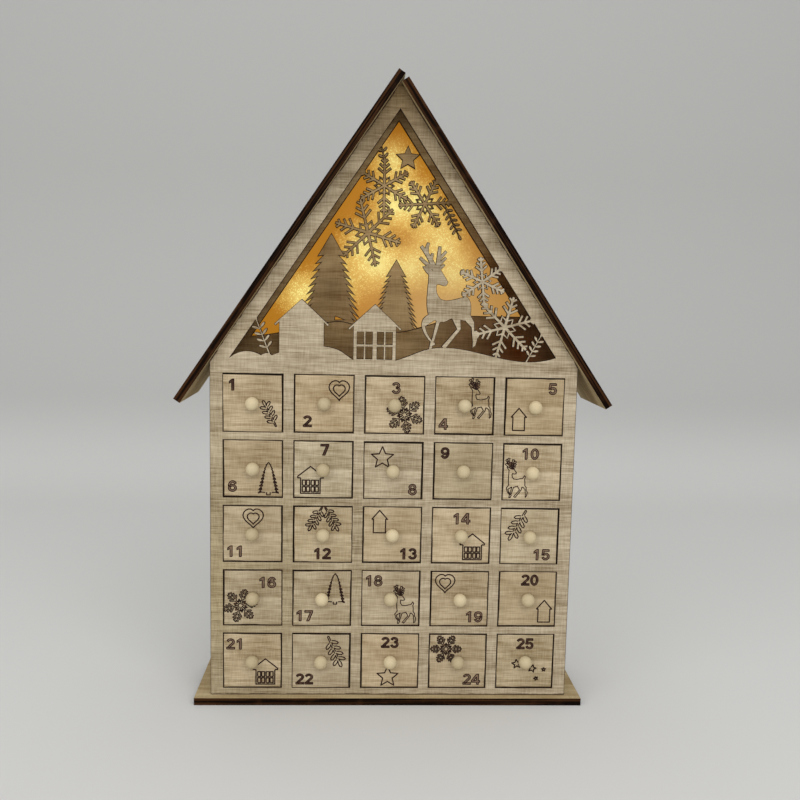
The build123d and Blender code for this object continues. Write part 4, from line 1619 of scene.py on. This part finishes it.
@dataclass
class Lantern:
    """The lit gable: the farther scene plate, the film, the lights and their battery case."""

    # Scene plate: its tone patches are painted shade on the recessed plate, with painted warm spill from the
    # film low on the right, and greyer painted shade over the firs.
    plate: Ply = Ply("scene_ply", paint(176, 150, 108), paint(124, 96, 60), contrast=2.4,
                     toast=paint(96, 58, 26), gloss=0.03,
                     stains=(Stain((0.085, -0.011, 0.244), 0.085, (0.42, 0.16, 0.06, 1)),
                             Stain((0.075, -0.011, 0.300), 0.060, (0.70, 0.50, 0.28, 1)),
                             Stain((-0.044, -0.011, 0.285), 0.050, (0.45, 0.43, 0.42, 1)),
                             Stain((0.0, -0.011, 0.280), 0.040, (0.72, 0.70, 0.68, 1))))
    hill: tuple[Point, ...] = ((-66.0, 19.4), (-56.0, 21.6), (-45.0, 23.6), (-37.5, 24.2),
                               (-28.0, 22.4), (-14.0, 19.5), (3.5, 17.9), (18.0, 21.5))
    film: AmberFilm = AmberFilm()
    hill_w: float = 0.6 * MM
    rim_w: float = 0.42 * MM
    sill_z: float = 237.5 * MM
    case: Moulded = Moulded("case_plastic", paint(52, 52, 54), paint(66, 66, 68))
    switch: Moulded = Moulded("switch_plastic", paint(28, 28, 30), paint(40, 40, 42), 0.38)
    cells: Metal = Metal("cell_can", paint(186, 188, 190), paint(150, 152, 156), 0.32)
    contact: Metal = Metal("contact_metal", paint(214, 206, 190), paint(176, 168, 152))
    wire: Metal = Metal("wire_coat", paint(196, 190, 180), paint(160, 150, 138), 0.35)

    def lights(self) -> list[Vector]:
        """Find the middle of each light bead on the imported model.

        Returns:
            The middles, on the film's plane.
        """
        shape = merged_copy("led_beads")
        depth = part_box("glow_film")[0].y
        found = []
        for part in islands(shape):
            middle = sum((vert.co for vert in part), Vector()) / len(part)
            found.append(Vector((middle.x, depth, middle.z)))
        shape.free()
        return found

    def hill_line(self) -> None:
        """Burn the brow of the hill into the plate, across the feet of the firs."""
        pen = Pen(self.hill_w)
        low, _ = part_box("scene_panel")
        shape = bmesh.new()
        pen.lay(pen.bow("hill", list(self.hill)), Vector((0, low.y, self.sill_z)), shape)
        burnt = Engraved("burnt_hill").make()
        piece("hill_line", settled(shape, "hill_line"), CARCASS, (burnt,))
        scorched_rim("scene_panel", self.rim_w, burnt)

    def build(self) -> None:
        """Dress every piece."""
        self.hill_line()
        dress("scene_panel", self.plate.make(Lie.FACING))
        dress("glow_film", self.film.make(self.lights()))
        for finish, nodes in ((LitBead(), ("led_beads",)), (self.wire, ("led_wire",)),
                              (self.case, ("battery_case", "battery_cover")),
                              (self.switch, ("switch_slider", "switch_body")),
                              (self.contact, ("contact_leaves", "contact_plates")),
                              (self.cells, ("battery_cells",))):
            material = finish.make()
            for node in nodes:
                dress(node, material)


@dataclass(frozen=True)
class Lamp:
    """One soft square lamp: where it hangs, its side in metres and its power in watts."""

    name: str
    at: Triple
    size: float
    power: float

    def hang(self, target: Triple) -> None:
        """Hang the lamp.

        Args:
            target: Where it points.
        """
        light = bpy.data.lights.new(self.name, "AREA")
        light.shape, light.size, light.energy = "SQUARE", self.size, self.power
        made = bpy.data.objects.new(self.name, light)
        at, aim = Vector(self.at), Vector(target)
        made.matrix_world = Matrix.Translation(at) @ (aim - at).to_track_quat("-Z", "Y").to_matrix().to_4x4()
        bpy.context.scene.collection.objects.link(made)


@dataclass
class Studio:
    """Pale sweep, soft light and the camera."""

    camera_at: Triple = (-0.0227, -0.6254, 0.2799)
    camera_right: Triple = (0.9989, -0.0416, 0.0205)
    camera_up: Triple = (-0.0156, 0.1157, 0.9932)
    lens: float = 40.5
    sensor: float = 36.0
    clip: tuple[float, float] = (0.01, 50)
    lamps: tuple[Lamp, ...] = (Lamp("key", (0.5, -1.5, 1.2), 1.4, 15),
                               Lamp("fill", (-1.2, -1.4, 0.8), 1.4, 9),
                               Lamp("top", (0.0, 0.2, 2.0), 1.6, 6))
    lamp_target: Triple = (0.0, 0.0, 0.2)
    sweep_front: float = -2.4
    sweep_back: float = 0.55
    sweep_bend: float = 0.5
    bend_steps: int = 16
    sweep_half: float = 2.6
    sweep_top: float = 2.4
    floor: Colour = paint(212, 212, 210)
    backdrop: Colour = paint(189, 189, 187)
    fade_top: float = 0.12
    cloud: float = 2.2
    sky: Colour = (1.0, 1.0, 1.0, 1.0)
    sky_level: float = 0.55

    def sweep(self) -> None:
        """Make the floor that bends up into the backdrop."""
        shape = bmesh.new()
        ends = [shape.verts.new((side * self.sweep_half, self.sweep_front, 0)) for side in (-1, 1)]
        edge = shape.edges.new(ends)

        def drawn_out(start: list, reach: Vector) -> list:
            """Draw the last edge out.

            Args:
                start: The edge, in a list.
                reach: How far and which way.

            Returns:
                The new edges.
            """
            made = bmesh.ops.extrude_edge_only(shape, edges=start)["geom"]
            verts = [item for item in made if isinstance(item, bmesh.types.BMVert)]
            bmesh.ops.translate(shape, verts=verts, vec=reach)
            return [item for item in made if isinstance(item, bmesh.types.BMEdge)]

        last = drawn_out([edge], Vector((0, self.sweep_back - self.sweep_front, 0)))
        last = [item for item in last if all(abs(v.co.y - self.sweep_back) < WELD for v in item.verts)]
        centre = Vector((0, self.sweep_back, self.sweep_bend))
        bent = bmesh.ops.spin(shape, geom=last, cent=centre, axis=(1, 0, 0), angle=math.pi / 2,
                              steps=self.bend_steps)
        top = [item for item in bent["geom_last"] if isinstance(item, bmesh.types.BMEdge)]
        drawn_out(top, Vector((0, 0, self.sweep_top)))
        bmesh.ops.recalc_face_normals(shape, faces=shape.faces)
        mesh = settled(shape, "sweep", smooth=True)
        made = bpy.data.objects.new("sweep", mesh)
        bpy.context.scene.collection.objects.link(made)
        material, wiring, spot = begun("sweep_paper")
        cloud = wiring.noise(spot, self.cloud, detail=2)
        faded = wiring.remap(wiring.axes(spot)["Z"], 0.0, self.fade_top)
        tone = wiring.blend(faded, self.floor, self.backdrop)
        shade(wiring, {"Base Color": tone, "Roughness": wiring.remap(cloud, 0, 1, 0.86, 0.94),
                       "Specular IOR Level": 0.1})
        mesh.materials.append(material)

    def sky_light(self) -> None:
        """Fill the room with even light."""
        world = bpy.data.worlds.new("room")
        world.use_nodes = True
        world.node_tree.nodes.clear()
        wiring = Wiring(world.node_tree)
        back = wiring.node("ShaderNodeBackground", {"Color": self.sky, "Strength": self.sky_level})
        wiring.node("ShaderNodeOutputWorld", {"Surface": back.outputs[0]})
        bpy.context.scene.world = world

    def camera(self) -> None:
        """Set the camera where the object was seen from."""
        lens = bpy.data.cameras.new("camera")
        lens.sensor_fit, lens.sensor_width, lens.lens = "HORIZONTAL", self.sensor, self.lens
        lens.clip_start, lens.clip_end = self.clip
        right, up = Vector(self.camera_right).normalized(), Vector(self.camera_up).normalized()
        turn = Matrix((right, up, right.cross(up))).transposed().to_4x4()
        made = bpy.data.objects.new("camera", lens)
        made.matrix_world = Matrix.Translation(self.camera_at) @ turn
        bpy.context.scene.collection.objects.link(made)
        bpy.context.scene.camera = made

    def build(self) -> None:
        """Make the sweep, the lamps, the sky and the camera."""
        self.sweep()
        for lamp in self.lamps:
            lamp.hang(self.lamp_target)
        self.sky_light()
        self.camera()


def main() -> None:
    """Build the sub-assemblies in order and log each."""
    logging.basicConfig(level=logging.INFO, format="%(name)s: %(message)s")
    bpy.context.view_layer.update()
    bpy.context.scene.view_settings.view_transform = "Standard"
    for part in (Studio(), House(), Lantern(), Drawers()):
        part.build()
        log.info("%s built", type(part).__name__)


if __name__ == "__main__":
    main()
